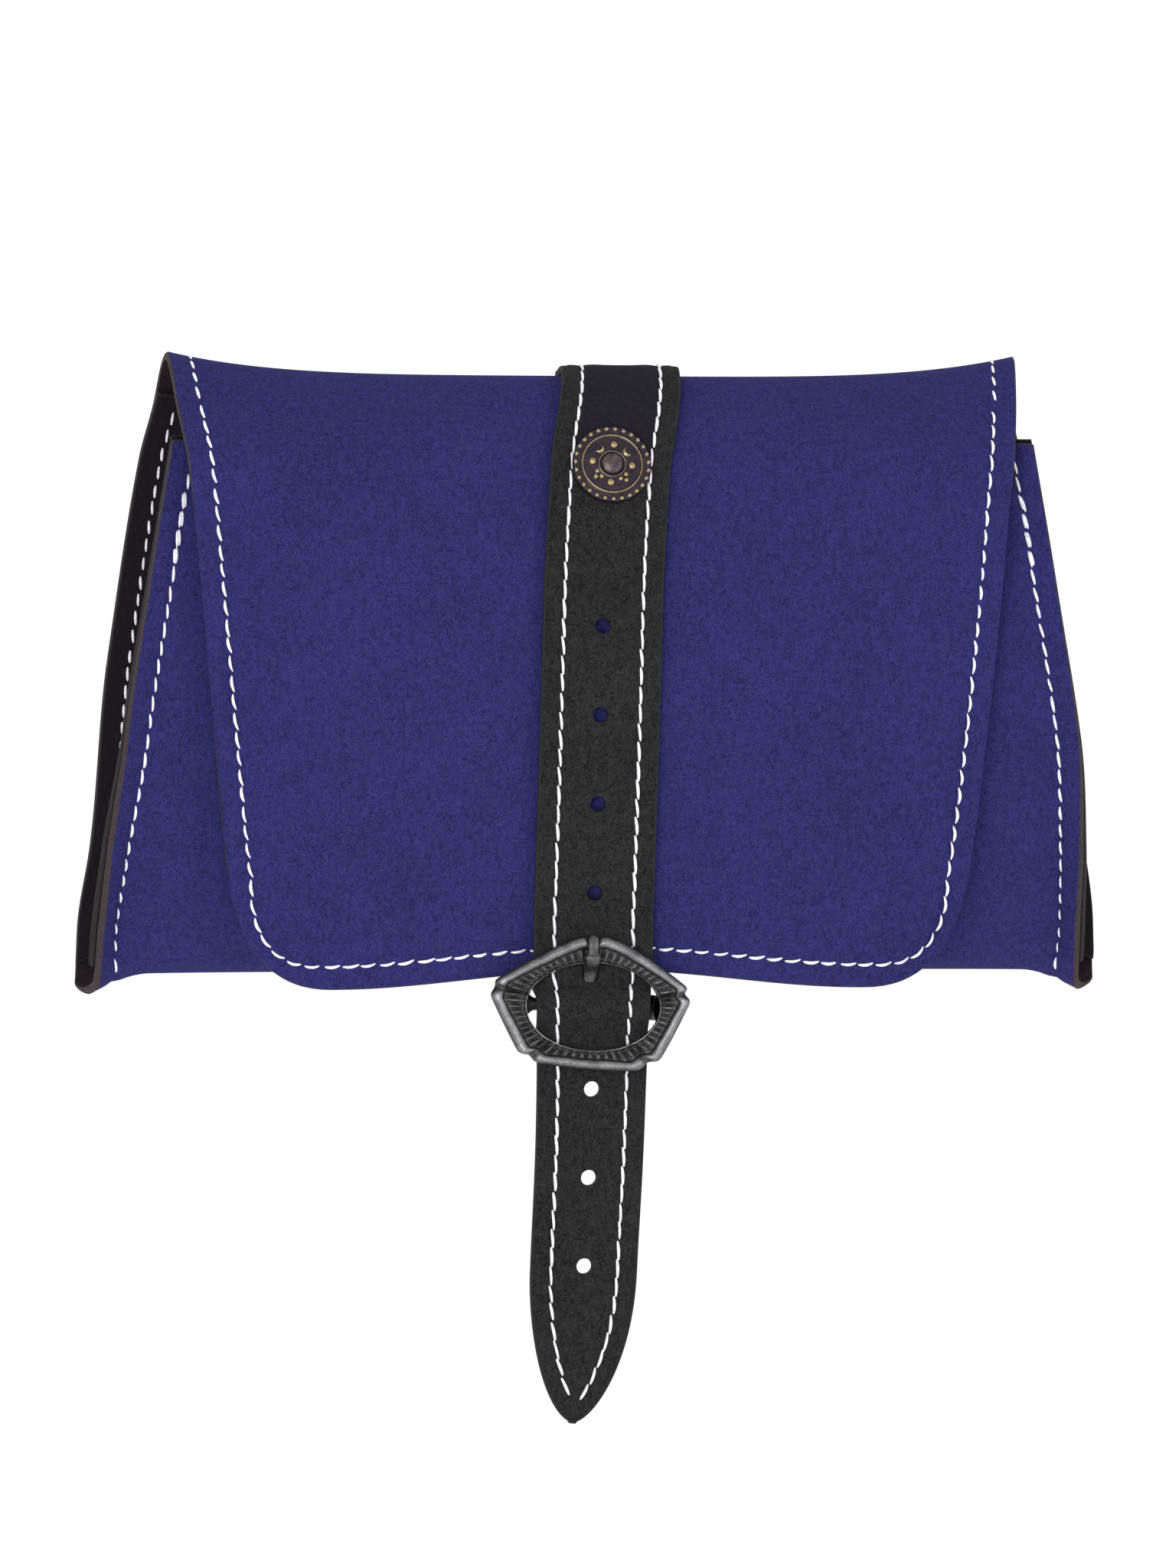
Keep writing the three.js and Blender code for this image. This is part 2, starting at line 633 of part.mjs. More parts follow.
// Chape: a short strap sewn behind the bag, under its bottom, round the bar and back on itself.
function chape() {
  const onBack = -fitGap - chapeThickness / 2;
  const skew = Math.sin(radians(buckleTilt)) * chapeWidth / 2;
  const below = bodyThickness / 2 + fitGap + chapeThickness / 2 + skew;
  const loop = barRadius + fitGap + chapeThickness / 2;
  const lap = chapeThickness + fitGap * 1.5;
  const bottomDepth = midDepth(stations[bottomRow]);
  const bottom = midHeight(stations[bottomRow]) - below;
  const frontTurn = midDepth(stations[bottomRow - 1]);
  const points = [
    [onBack, chapeRise],
    [onBack, chapeRise * 0.65],
    [onBack, chapeRise * 0.35],
    [mix(onBack, bottomDepth, 0.1), bottom + below * 3],
    [mix(onBack, bottomDepth, 0.42), bottom + below * 0.35],
    [bottomDepth, bottom],
    [frontTurn + below, mix(bottom, loop - buckleDrop, 0.35)],
    [mix(frontTurn, barDepth, 0.72), mix(bottom, loop - buckleDrop, 0.85)],
  ];
  for (const angle of [90, 60, 30, 0, -30, -60, -90, -110]) {
    const turn = radians(angle);
    points.push([barDepth + loop * Math.cos(turn), -buckleDrop + loop * Math.sin(turn)]);
  }
  points.push([mix(frontTurn, barDepth, 0.62), mix(bottom, loop - buckleDrop, 0.85) - lap * 1.15]);
  points.push([frontTurn + below, mix(bottom, loop - buckleDrop, 0.35) - lap * 1.05]);
  points.push([mix(bottomDepth, frontTurn, 0.6), bottom - lap]);
  const path = points.map(([d, z]) => place(barX, d, z));
  const line = new THREE.CatmullRomCurve3(path, false, 'centripetal');
  const across = new THREE.Vector3(Math.cos(radians(buckleTilt)), 0, -Math.sin(radians(buckleTilt)));
  const grid = bentShares(line, 50, 12).map((share) => {
    const point = line.getPointAt(share);
    return [-1, 1].map((v) => point.clone().addScaledVector(across, v * chapeWidth / 2));
  });
  return toGeometry(toSolid(sheet(grid, chapeThickness)).subtract(toSolid(tongue(fitGap))));
}

// Frame of the strap at the concho, which the post and the cap inside the flap share.
const conchoFrame = strapFrame(strapShare(bagHeight - conchoDrop));

function onStrap(geometry) {
  const { point, normal } = conchoFrame;
  geometry.applyQuaternion(new THREE.Quaternion().setFromUnitVectors(new THREE.Vector3(0, 1, 0), normal));
  geometry.translate(point.x, point.y, point.z);
  return geometry;
}

// Concho and its post in one turned profile, with a beaded rim.
function concho() {
  const radius = conchoDiameter / 2;
  const base = strapThickness / 2 + fitGap;
  const face = base + conchoThickness;
  const post = postDiameter / 2;
  const dome = domeDiameter / 2;
  const foot = -strapThickness / 2 - bodyThickness - fitGap - capSeat - capThickness / 2;
  const profile = [
    new THREE.Vector2(0, foot),
    new THREE.Vector2(post, foot),
    new THREE.Vector2(post, base),
    new THREE.Vector2(radius * 0.94, base),
    new THREE.Vector2(radius, base + conchoThickness * 0.4),
    new THREE.Vector2(radius * 0.95, face + beadHeight),
    new THREE.Vector2(radius * 0.84, face),
    new THREE.Vector2(radius * 0.75, face + beadHeight * 0.5),
    new THREE.Vector2(radius * 0.68, face),
    new THREE.Vector2(dome, face),
    new THREE.Vector2(dome * 0.7, face + domeHeight * 0.8),
    new THREE.Vector2(0, face + domeHeight),
  ];
  const geometry = new THREE.LatheGeometry(profile, conchoBeads * 2);
  const position = geometry.attributes.position;
  const stride = profile.length;
  const beadRow = 5;
  for (let i = 1; i <= conchoBeads * 2; i += 2) {
    position.setY(i * stride + beadRow, face + beadHeight * 0.45);
  }
  return onStrap(geometry);
}

// Cap that holds the post inside the flap.
function rivetCap() {
  const face = -strapThickness / 2 - bodyThickness - fitGap - capSeat;
  const hole = postDiameter / 2 + fitGap;
  const radius = capDiameter / 2;
  return onStrap(new THREE.LatheGeometry([
    new THREE.Vector2(0, face - capThickness * 1.4),
    new THREE.Vector2(radius * 0.6, face - capThickness * 1.4),
    new THREE.Vector2(radius, face - capThickness * 0.7),
    new THREE.Vector2(radius, face),
    new THREE.Vector2(hole, face),
    new THREE.Vector2(hole, face - capThickness * 0.8),
    new THREE.Vector2(0, face - capThickness * 0.8),
  ], 16));
}

function postHole() {
  const inward = strapThickness / 2 + bodyThickness + fitGap + capSeat;
  const { point, normal } = conchoFrame;
  const middle = point.clone().addScaledVector(normal, (strapThickness - inward) / 2);
  return toSolid(pin(postDiameter / 2 + fitGap, strapThickness + inward, 16, middle, normal));
}

function body() {
  return toGeometry(toSolid(bodySheet()).subtract(postHole()));
}

// Holes up and down the strap, counted from the one that the tongue is in.
function strap() {
  let solid = toSolid(strapSheet()).subtract(postHole()).subtract(toSolid(tongue(fitGap)));
  const tongueShare = strapShare(-buckleDrop + openingHeight * 0.3);
  const skip = 0.28; // of a pitch, by which the lower holes stand further off
  for (const count of [-4, -3, -2, -1, 1, 2, 3]) {
    const reach = (count + (count > 0 ? skip : 0)) * holePitch;
    const share = tongueShare + reach / strapLength;
    const { point, normal } = strapFrame(share);
    solid = solid.subtract(toSolid(pin(holeDiameter / 2, strapThickness * 2, 16, point, normal)));
  }
  return toGeometry(solid);
}

const suede = (color) => new THREE.MeshStandardMaterial({ color, roughness: 0.95, metalness: 0 });
const metal = (color, roughness) => new THREE.MeshStandardMaterial({ color, roughness, metalness: 1 });
const blue = suede(0x33336a);
const black = suede(0x1c191d);
const charcoal = suede(0x2f2f30);
const pewter = metal(0x6a6a6c, 0.4);
const brass = metal(0x9a8468, 0.35);

const group = new THREE.Group();
function piece(name, geometry, material) {
  const mesh = new THREE.Mesh(geometry, material);
  mesh.name = name;
  group.add(mesh);
}

piece('body', body(), blue);
piece('gusset_left', gusset(-1), black);
piece('gusset_right', gusset(1), black);
piece('strap', strap(), charcoal);
piece('buckle_chape', chape(), charcoal);
piece('buckle_frame', buckleFrame(), pewter);
piece('buckle_tongue', tongue(0), pewter);
piece('concho', concho(), brass);
piece('rivet_cap', rivetCap(), brass);

export default group;
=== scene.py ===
import math
from collections import namedtuple

import bpy
import numpy as np
from bpy.props import FloatProperty, FloatVectorProperty, IntProperty, PointerProperty
from mathutils import Matrix, Vector
from mathutils.kdtree import KDTree


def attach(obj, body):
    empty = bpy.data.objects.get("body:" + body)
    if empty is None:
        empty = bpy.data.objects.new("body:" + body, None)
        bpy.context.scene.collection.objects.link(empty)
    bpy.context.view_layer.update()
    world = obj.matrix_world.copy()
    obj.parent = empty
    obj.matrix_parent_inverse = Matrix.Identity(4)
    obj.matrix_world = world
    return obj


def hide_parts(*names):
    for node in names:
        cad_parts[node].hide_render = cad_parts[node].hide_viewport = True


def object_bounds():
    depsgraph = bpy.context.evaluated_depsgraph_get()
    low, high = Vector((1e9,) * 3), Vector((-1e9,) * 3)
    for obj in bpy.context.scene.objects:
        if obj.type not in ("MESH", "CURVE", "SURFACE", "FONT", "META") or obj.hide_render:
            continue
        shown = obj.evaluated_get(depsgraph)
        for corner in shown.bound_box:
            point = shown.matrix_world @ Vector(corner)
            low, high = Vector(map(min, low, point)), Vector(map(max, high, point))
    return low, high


bl_info = {
    "name": "Medieval belt pouch",
    "blender": (4, 5, 0),
    "version": (1, 0, 0),
    "location": "3D View > Sidebar > Pouch",
    "description": "Dresses the packed belt pouch in suede, thread and cast metal",
    "category": "Object",
}

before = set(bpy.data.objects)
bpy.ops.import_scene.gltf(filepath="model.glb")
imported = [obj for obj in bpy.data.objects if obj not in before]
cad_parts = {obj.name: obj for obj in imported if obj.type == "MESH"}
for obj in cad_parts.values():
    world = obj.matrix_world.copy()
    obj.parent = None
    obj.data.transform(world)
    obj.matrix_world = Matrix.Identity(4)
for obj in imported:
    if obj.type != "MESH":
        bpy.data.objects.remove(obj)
cad_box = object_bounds()

# Course of the body sheet from the front panel's top edge, round the bottom, up the back, over the
# ridge and down the flap. z and rise are shares of the bag's height, mid and seam of its depth;
# blend goes from the bottom's width to the ridge's, and taper scales it; flare is in degrees; ear is
# a share of the ears' drop; layer counts the leather that lies below; sway is a share of the shift.
Row = namedtuple("Row", "z mid seam rise blend taper flare ear layer sway")
COURSE = (
    Row(0.893, 0.602, 0.649, 0, 0.956, 1, 5, 0, 0, 1),
    Row(0.667, 0.788, 0.707, 0, 0.711, 1, 10, 0, 0, 0.95),
    Row(0.4, 0.881, 0.719, 0, 0.44, 1, 20, 0, 0, 0.95),
    Row(0.2, 0.847, 0.579, 0, 0.31, 1, 38, 0, 0, 0.5),
    Row(0.08, 0.719, 0.37, 0, 0.26, 1, 50, 0.2, 0, 0.4),
    Row(0.023, 0.579, 0.253, -0.01, 0.22, 1, 32, 1, 0, 0.4),
    Row(0.007, 0.416, 0.184, -0.007, 0.12, 1, 0, 1, 0, 0.5),
    Row(0.02, 0.184, 0.114, -0.01, 0, 1, 0, 0.9, 0, 0.7),
    Row(0.08, 0.033, 0.056, 0, 0.01, 1, 0, 0.3, 0, 0.9),
    Row(0.2, 0, 0, 0, 0.12, 1, 0, 0, 0, 1.2),
    Row(0.533, 0, 0, 0, 0.43, 1, 0, 0, 0, 0.3),
    Row(0.867, 0, 0, 0, 0.78, 1, 0, 0, 0, 0.3),
    Row(0.953, 0.033, 0.04, 0.01, 0.93, 1, 0, 0, 0, 0.4),
    Row(1, 0.29, 0.31, 0.037, 1, 1, 0, 0, 0.5, 0.45),
    Row(0.947, 0.528, 0.598, 0, 1, 0.982, 0, 0, 1, 0.4),
    Row(0.847, 0.726, 0.796, 0, 1, 0.961, 0, 0, 1, 0.4),
    Row(0.667, 0.865, 0.819, 0, 1, 0.938, -4, 0, 1, 0.4),
    Row(0.4, 0.947, 0.842, 0, 1, 0.903, -6, 0, 1, 0.3),
    Row(0.2, 0.923, 0.819, 0, 1, 0.873, -6, 0, 1, 0.2),
    Row(0.093, 0.877, 0.796, 0, 1, 0.851, -6, 0, 1, 0.15),
    Row(-0.053, 0.819, 0.761, 0, 1, 0.83, -6, 0, 1, 0.1),
)
BOTTOM_ROW = 6
BACK_LOW_ROW = 7
RIDGE_ROW = 13
FLAP_ROW = 15
FULLNESS = 2.2  # power by which the panels go from their middle's depth to their seams'
CORNER_FULLNESS = 4.5  # the same for their height
FLAP_LOW = 1.25  # lowest place of the flap's edge under the bottom fold, as a share of its arch
CORNER_POWER = 2.3  # roundness of the flap's corners, of which 2 is an ellipse
EDGE_SLOT = 2  # material slot of the cut edges

# Sideways offset of the strap as a share of its lean. Heights are shares of the bag's height above
# the bottom fold and of the tail's drop below it.
LEAN = (
    (1.02, 1.12), (0.98, 0.98), (0.847, 0.36), (0.6, -0.03), (0.067, -0.32),
    (-0.066, -0.35), (-0.25, -0.36), (-0.55, -0.53), (-0.81, -0.71), (-1, -0.96),
)

# Petals of the buckle: start, middle and end of each one's outer edge in shares of half the
# buckle's width, heights in shares of its height over PETAL_SPAN, and the nick that follows it.
Petal = namedtuple("Petal", "start middle end nick")
PETAL_SPAN = 1.4
PETALS = (
    Petal((0.085, 0.745), (0.435, 0.61), (0.975, 0.224), (0.925, 0.166)),
    Petal((1.002, 0.104), (0.840, -0.275), (0.700, -0.547), (0.600, -0.548)),
    Petal((0.500, -0.650), (-0.025, -0.648), (-0.547, -0.585), (-0.572, -0.510)),
    Petal((-0.690, -0.505), (-0.855, -0.190), (-1.002, 0.112), (-0.935, 0.185)),
    Petal((-0.965, 0.245), (-0.422, 0.585), (-0.075, 0.74), (0.004, 0.665)),
)


def shade(hex_value):
    """Linear colour of an sRGB hex value."""
    channels = [int(hex_value[i:i + 2], 16) / 255 for i in (0, 2, 4)]
    linear = [v / 12.92 if v <= 0.04045 else ((v + 0.055) / 1.055) ** 2.4 for v in channels]
    return (*linear, 1.0)


def length(name, text, default):
    """A length in metres that the panel shows."""
    return FloatProperty(name=name, description=text, default=default, unit="LENGTH", precision=5)


def colour(name, text, default):
    """A colour that the panel shows, from its sRGB hex value."""
    return FloatVectorProperty(name=name, description=text, default=shade(default)[:3], subtype="COLOR",
                               min=0, max=1)


class PouchBag(bpy.types.PropertyGroup):
    """Sizes of the bag's leather"""
    height: length("Height", "Bottom fold to ridge", 0.150)
    depth: length("Depth", "Back panel to the fullest part of the front", 0.043)
    bottom_width: length("Bottom width", "Across the back panel's lower corners", 0.262)
    ridge_width: length("Ridge width", "Across the fold over which the flap comes", 0.217)
    thickness: length("Thickness", "Thickness of the body's leather", 0.0022)
    gusset_thickness: length("Gusset thickness", "Thickness of the gussets' leather", 0.0018)
    margin: length("Seam margin", "Stitch line to cut edge", 0.0055)
    ear_drop: length("Ear drop", "How far the seam edges hang below the bottom fold", 0.005)
    ear_reach: length("Ear reach", "Width over which the bottom curves down to the ears", 0.016)
    gusset_rise: length("Gusset rise", "Gusset top over the front panel's edge", 0.0013)
    gusset_lift: length("Gusset lift", "Rear corner of the gussets over their front one", 0.012)
    gusset_floor: length("Gusset floor", "Lower end of the gussets", 0.005)
    flap_arch: length("Flap arch", "Half the rise of the flap's lower edge", 0.0024)
    corner_width: length("Corner width", "Width of the flap's rounded corner", 0.0227)
    corner_height: length("Corner height", "Height of the flap's rounded corner", 0.0271)
    gap: length("Gap", "Clearance between pieces that lie on each other", 0.0003)
    belt_gap: length("Belt gap", "Clear depth of the belt tunnel", 0.007)
    belt_height: length("Belt height", "Middle of the belt tunnel over the bottom fold", 0.112)
    belt_room: length("Belt room", "Clear height of the belt tunnel", 0.056)
    sway: length("Sway", "Shift of the front panel's top to the right", 0.0025)
    wave: length("Wave", "Height of the soft waves in the flap", 0.00045)
    grid: length("Grid", "Distance between the sheet's points", 0.0017)


class PouchStrap(bpy.types.PropertyGroup):
    """Sizes of the strap"""
    thickness: length("Thickness", "Thickness of the strap's leather", 0.0026)
    width: length("Width", "Width of the strap over the flap", 0.0293)
    lean: length("Lean", "Sideways offset where it crosses the ridge", 0.0075)
    shift: length("Shift", "Further sideways offset behind the bag", 0.002)
    tail_drop: length("Tail drop", "Tip of the strap below the bottom fold", 0.112)
    point: length("Point", "Length of the pointed end", 0.038)
    hole: length("Hole", "Diameter of the punched holes", 0.004)
    pitch: length("Hole pitch", "Distance between the holes", 0.0223)
    patch: length("Patch", "Length sewn down below the belt tunnel", 0.018)
    inset: length("Stitch inset", "Edge to stitch line", 0.0047)
    crease: length("Crease", "Edge to the creased line", 0.0010)
    grid: length("Grid", "Distance between the strap's points", 0.0011)


class PouchMetal(bpy.types.PropertyGroup):
    """Sizes of the buckle and the concho"""
    buckle_width: length("Buckle width", "Across the cast frame", 0.0509)
    buckle_height: length("Buckle height", "Height of the cast frame", 0.0338)
    drop: length("Drop", "Bar below the bottom fold", 0.0074)
    offset: length("Offset", "Buckle to the right of the strap's middle", -0.0010)
    tilt: FloatProperty(name="Tilt", description="Clockwise from the front", default=math.radians(2),
                        subtype="ANGLE")
    opening_width: length("Opening width", "Width of the frame's opening", 0.0336)
    opening_height: length("Opening height", "Height of the frame's opening", 0.022)
    opening_shift: length("Opening shift", "Middle of the opening below the bar", -0.0001)
    opening_offset: length("Opening offset", "Opening to the right of the frame's middle", 0.0008)
    frame_thickness: length("Frame thickness", "Thickness of the cast frame", 0.0034)
    bar_radius: length("Bar radius", "Radius of the bar behind the strap", 0.0016)
    roll_width: length("Roll width", "Width of the rolled rim", 0.0029)
    leg_width: length("Leg width", "Width of the legs that carry the bar", 0.0028)
    leg_slack: length("Leg slack", "Room beside the strap between the legs", 0.0012)
    arch: length("Arch", "Rise of the strap over the bar", 0.0023)
    lift: length("Lift", "Rise of the strap from the flap to the frame", 0.0012)
    chape: length("Chape thickness", "Thickness of the chape", 0.002)
    chape_width: length("Chape width", "Width of the chape", 0.022)
    chape_rise: length("Chape rise", "Upper end of the chape over the bottom fold", 0.040)
    chape_inset: length("Chape inset", "Edge to stitch line", 0.0032)
    rim_gap: length("Rim gap", "Strap to the back of the frame", 0.0006)
    tongue_width: length("Tongue width", "Width of the tongue", 0.0037)
    tongue_thickness: length("Tongue thickness", "Thickness of the tongue", 0.0022)
    tongue_notch: length("Tongue notch", "Depth of the tongue's seat in the rim", 0.0012)
    ribs: IntProperty(name="Ribs", description="Cast ribs round the inner border", default=116)
    concho: length("Concho", "Diameter of the concho", 0.020)
    concho_drop: length("Concho drop", "Middle of the concho below the ridge", 0.0223)
    concho_thickness: length("Concho thickness", "Thickness of the plate", 0.0012)
    beads: IntProperty(name="Beads", description="Beads round the concho's rim", default=27)


class PouchThread(bpy.types.PropertyGroup):
    """Sizes of the sewing"""
    pitch: length("Pitch", "Distance from stitch to stitch", 0.0047)
    stitch: length("Stitch", "Visible length of a stitch", 0.0049)
    radius: length("Radius", "Radius of the thread", 0.0004)


class PouchColours(bpy.types.PropertyGroup):
    """Colours of the leathers, the thread and the metals"""
    body: colour("Body", "Suede of the body", "252456")
    flesh: colour("Flesh side", "Inside of the body's leather", "1a1418")
    strap: colour("Strap", "Suede of the strap", "1f1f1f")
    tint: colour("Tint", "Trace of colour above the concho", "17131f")
    gusset: colour("Gusset", "Suede of the gussets", "171318")
    edge: colour("Edge", "Cut edge of the body", "33292b")
    black_edge: colour("Black edge", "Cut edge of the strap", "1c1a1b")
    thread: colour("Thread", "Sewing thread", "eeecf2")
    pewter: colour("Pewter", "Finish of the buckle", "545455")
    patina: colour("Patina", "Dark finish of the concho", "4f4650")
    brass: colour("Brass", "Rubbed places of the concho", "a8956e")


class PouchStage(bpy.types.PropertyGroup):
    """Camera and floor"""
    azimuth: FloatProperty(name="Azimuth", description="Camera's turn round the pouch",
                           default=math.radians(-8), subtype="ANGLE")
    elevation: FloatProperty(name="Elevation", description="Camera over the horizon",
                             default=math.radians(2), subtype="ANGLE")
    roll: FloatProperty(name="Roll", description="Camera's roll", default=math.radians(0.2),
                        subtype="ANGLE")
    distance: length("Distance", "Camera to the aim", 2.0)
    span: length("Span", "Height that the picture takes in at the aim", 0.3931)
    aim: FloatVectorProperty(name="Aim", description="Point in the middle of the picture",
                             default=(-0.0063, -0.0475, -0.0636), subtype="TRANSLATION", precision=5)
    floor_gap: length("Floor gap", "Floor below the tip of the tail", 0.22)
    floor_radius: length("Floor radius", "Radius of the round floor", 6.0)


def settings():
    """The scene, which carries all the property groups."""
    return bpy.context.scene


def mix(a, b, q):
    """The value at a share q of the way from a to b."""
    return a + (b - a) * q


def smooth(stations, values):
    """Smooth curve through values at rising stations that never swings past them."""
    x = np.asarray(stations, float)
    y = np.asarray(values, float)
    step = np.diff(x)
    slope = np.diff(y) / step
    tangent = np.zeros_like(y)
    tangent[0] = slope[0]
    tangent[-1] = slope[-1]
    for i in range(1, len(x) - 1):
        if slope[i - 1] * slope[i] > 0:
            near = step[i - 1]
            far = step[i]
            weight = (2 * far + near) / slope[i - 1] + (far + 2 * near) / slope[i]
            tangent[i] = 3 * (near + far) / weight

    def curve(s):
        s = np.asarray(s, float)
        i = np.clip(np.searchsorted(x, s, side="right") - 1, 0, len(step) - 1)
        h = step[i]
        whole = (s - x[i]) / h
        q = np.clip(whole, 0, 1)
        p = 1 - q
        value = y[i] * (1 + 2 * q) * p * p + tangent[i] * h * q * p * p
        value = value + y[i + 1] * (3 - 2 * q) * q * q - tangent[i + 1] * h * q * q * p
        return value + (whole - q) * h * np.where(whole < 0, tangent[i], tangent[i + 1])

    return curve


def unit(v):
    """Vectors at length 1."""
    return v / np.maximum(np.linalg.norm(v, axis=-1, keepdims=True), 1e-12)


def bump(distance, width):
    """Bell curve of height 1."""
    return np.exp(-(distance / width) ** 2)


class Bag:
    """The body sheet's middle surface, and places on it."""

    def __init__(self, bag):
        self.bag = bag
        depth = [self.row_depth(row, row.mid) for row in COURSE]
        height = [bag.height * row.z for row in COURSE]
        steps = np.hypot(np.diff(depth), np.diff(height))
        self.stations = np.concatenate([[0], np.cumsum(steps)])
        curve = lambda values: smooth(self.stations, values)
        self.mid_depth = curve(depth)
        self.mid_height = curve(height)
        self.seam_depth = curve([self.row_depth(row, row.seam) for row in COURSE])
        self.seam_height = curve([bag.height * (row.z + row.rise) for row in COURSE])
        self.half = curve([mix(bag.bottom_width, bag.ridge_width, row.blend) / 2 * row.taper
                           for row in COURSE])
        self.flare = curve([math.radians(row.flare) for row in COURSE])
        self.ear = curve([bag.ear_drop * row.ear for row in COURSE])
        self.sway = curve([bag.sway * row.sway for row in COURSE])

    def row_depth(self, row, share):
        """Depth of a row, outside the layers that lie under it."""
        return self.bag.thickness * (0.5 + row.layer) + self.bag.depth * share

    def place(self, x, d, z):
        """Point in the shared frame for x, depth and height over the bottom fold."""
        x, d, z = np.broadcast_arrays(x, d, z)
        return np.stack([x, -d - self.bag.belt_gap / 2, z - self.bag.belt_height], axis=-1)

    def stitch_half(self, s):
        """Distance of the stitch line from the middle."""
        return self.half(s) - self.bag.margin * np.cos(self.flare(s))

    def point(self, s, c):
        """c runs from -1 to 1 between the stitch lines, and on to -2 and 2 across the margins."""
        s, c = np.broadcast_arrays(np.asarray(s, float), np.asarray(c, float))
        inner = np.minimum(np.abs(c), 1)
        margin = np.maximum(np.abs(c) - 1, 0) * self.bag.margin
        turn = inner ** FULLNESS
        x = inner * self.stitch_half(s) + margin * np.cos(self.flare(s))
        d = mix(self.mid_depth(s), self.seam_depth(s), turn) + margin * np.sin(self.flare(s))
        rise = (x / self.half(s)) ** CORNER_FULLNESS
        z = mix(self.mid_height(s), self.seam_height(s), rise)
        sag = np.clip((x - self.half(s)) / self.bag.ear_reach + 1, 0, 1) ** 1.8
        z = z - self.ear(s) * sag
        return self.place(np.sign(c) * x + self.sway(s), d, z)

    def normal(self, s, c):
        """Outward direction of the sheet."""
        s, c = np.broadcast_arrays(np.asarray(s, float), np.asarray(c, float))
        along = self.point(s + 1e-5, c) - self.point(s - 1e-5, c)
        across = self.point(s, c + 0.01) - self.point(s, c - 0.01)
        return unit(np.cross(along, across))

    def flap_edge(self, x, half):
        """Height of the flap's lower edge at a distance from the middle."""
        straight = half - self.bag.corner_width
        low = FLAP_LOW * self.bag.flap_arch
        arch = self.bag.flap_arch * (1 + np.cos(np.pi * np.minimum(x / straight, 1))) - low
        reach = np.clip((x - straight) / self.bag.corner_width, 0, 1)
        fall = (1 - reach ** CORNER_POWER) ** (1 / CORNER_POWER)
        corner = self.bag.corner_height * (1 - fall) - low
        return np.where(x <= straight, arch, corner)

    def flap_end(self, c):
        """Station where a column reaches the flap's lower edge."""
        low = np.full(np.shape(c), self.stations[FLAP_ROW])
        high = np.full(np.shape(c), self.stations[-1])
        for _ in range(40):
            s = (low + high) / 2
            spot = self.point(s, c)
            half = self.half(s)
            above = spot[..., 2] + self.bag.belt_height > self.flap_edge(
                np.minimum(np.abs(spot[..., 0] - self.sway(s)), half), half)
            low = np.where(above, s, low)
            high = np.where(above, high, s)
        return (low + high) / 2

    def on_flap(self, x, z):
        """Station and column of the flap at a place seen from the front, without its sway."""
        low = np.full(np.shape(x), self.stations[RIDGE_ROW])
        high = np.full(np.shape(x), self.stations[-1] + 0.01)
        for _ in range(40):
            s = (low + high) / 2
            above = self.point(s, self.column(s, x))[..., 2] + self.bag.belt_height > z
            low = np.where(above, s, low)
            high = np.where(above, high, s)
        return s, self.column(s, x)

    def column(self, s, x):
        """Column at a distance from the middle."""
        inner = np.abs(x) / self.stitch_half(s)
        outer = 1 + (np.abs(x) - self.stitch_half(s)) / (self.bag.margin * np.cos(self.flare(s)))
        return np.sign(x) * np.where(inner <= 1, inner, outer)

    def seam_station(self, height, first, last):
        """Station between two rows where the seam has a height."""
        low = np.full(np.shape(height), self.stations[first])
        high = np.full(np.shape(height), self.stations[last])
        rising = self.seam_height(self.stations[last]) > self.seam_height(self.stations[first])
        for _ in range(40):
            s = (low + high) / 2
            before = (self.seam_height(s) < height) == rising
            low = np.where(before, s, low)
            high = np.where(before, high, s)
        return (low + high) / 2


def catmull(points, per_piece=24):
    """Centripetal curve through points, as a fine polyline."""
    p = np.asarray(points, float)
    p = np.vstack([2 * p[0] - p[1], p, 2 * p[-1] - p[-2]])
    out = []
    for a, b, c, d in zip(p, p[1:], p[2:], p[3:]):
        ab, bc, cd = (max(np.linalg.norm(v) ** 0.5, 1e-9) for v in (b - a, c - b, d - c))
        start = ((b - a) / ab - (c - a) / (ab + bc) + (c - b) / bc) * bc
        end = ((c - b) / bc - (d - b) / (bc + cd) + (d - c) / cd) * bc
        q = (np.arange(per_piece) / per_piece)[:, None]
        out.append(b * (2 * q ** 3 - 3 * q ** 2 + 1) + start * (q ** 3 - 2 * q ** 2 + q)
                   + c * (3 * q ** 2 - 2 * q ** 3) + end * (q ** 3 - q ** 2))
    out.append(p[-2][None])
    return np.vstack(out)


class Line:
    """A polyline that is read by its length."""

    def __init__(self, points):
        self.points = np.asarray(points, float)
        steps = np.linalg.norm(np.diff(self.points, axis=0), axis=1)
        self.reach = np.concatenate([[0], np.cumsum(steps)])
        self.length = self.reach[-1]

    def at(self, s):
        return np.stack([np.interp(s, self.reach, self.points[:, i])
                         for i in range(self.points.shape[1])], axis=-1)

    def tangent(self, s):
        step = 1e-4
        return unit(self.at(np.minimum(s + step, self.length)) - self.at(np.maximum(s - step, 0)))


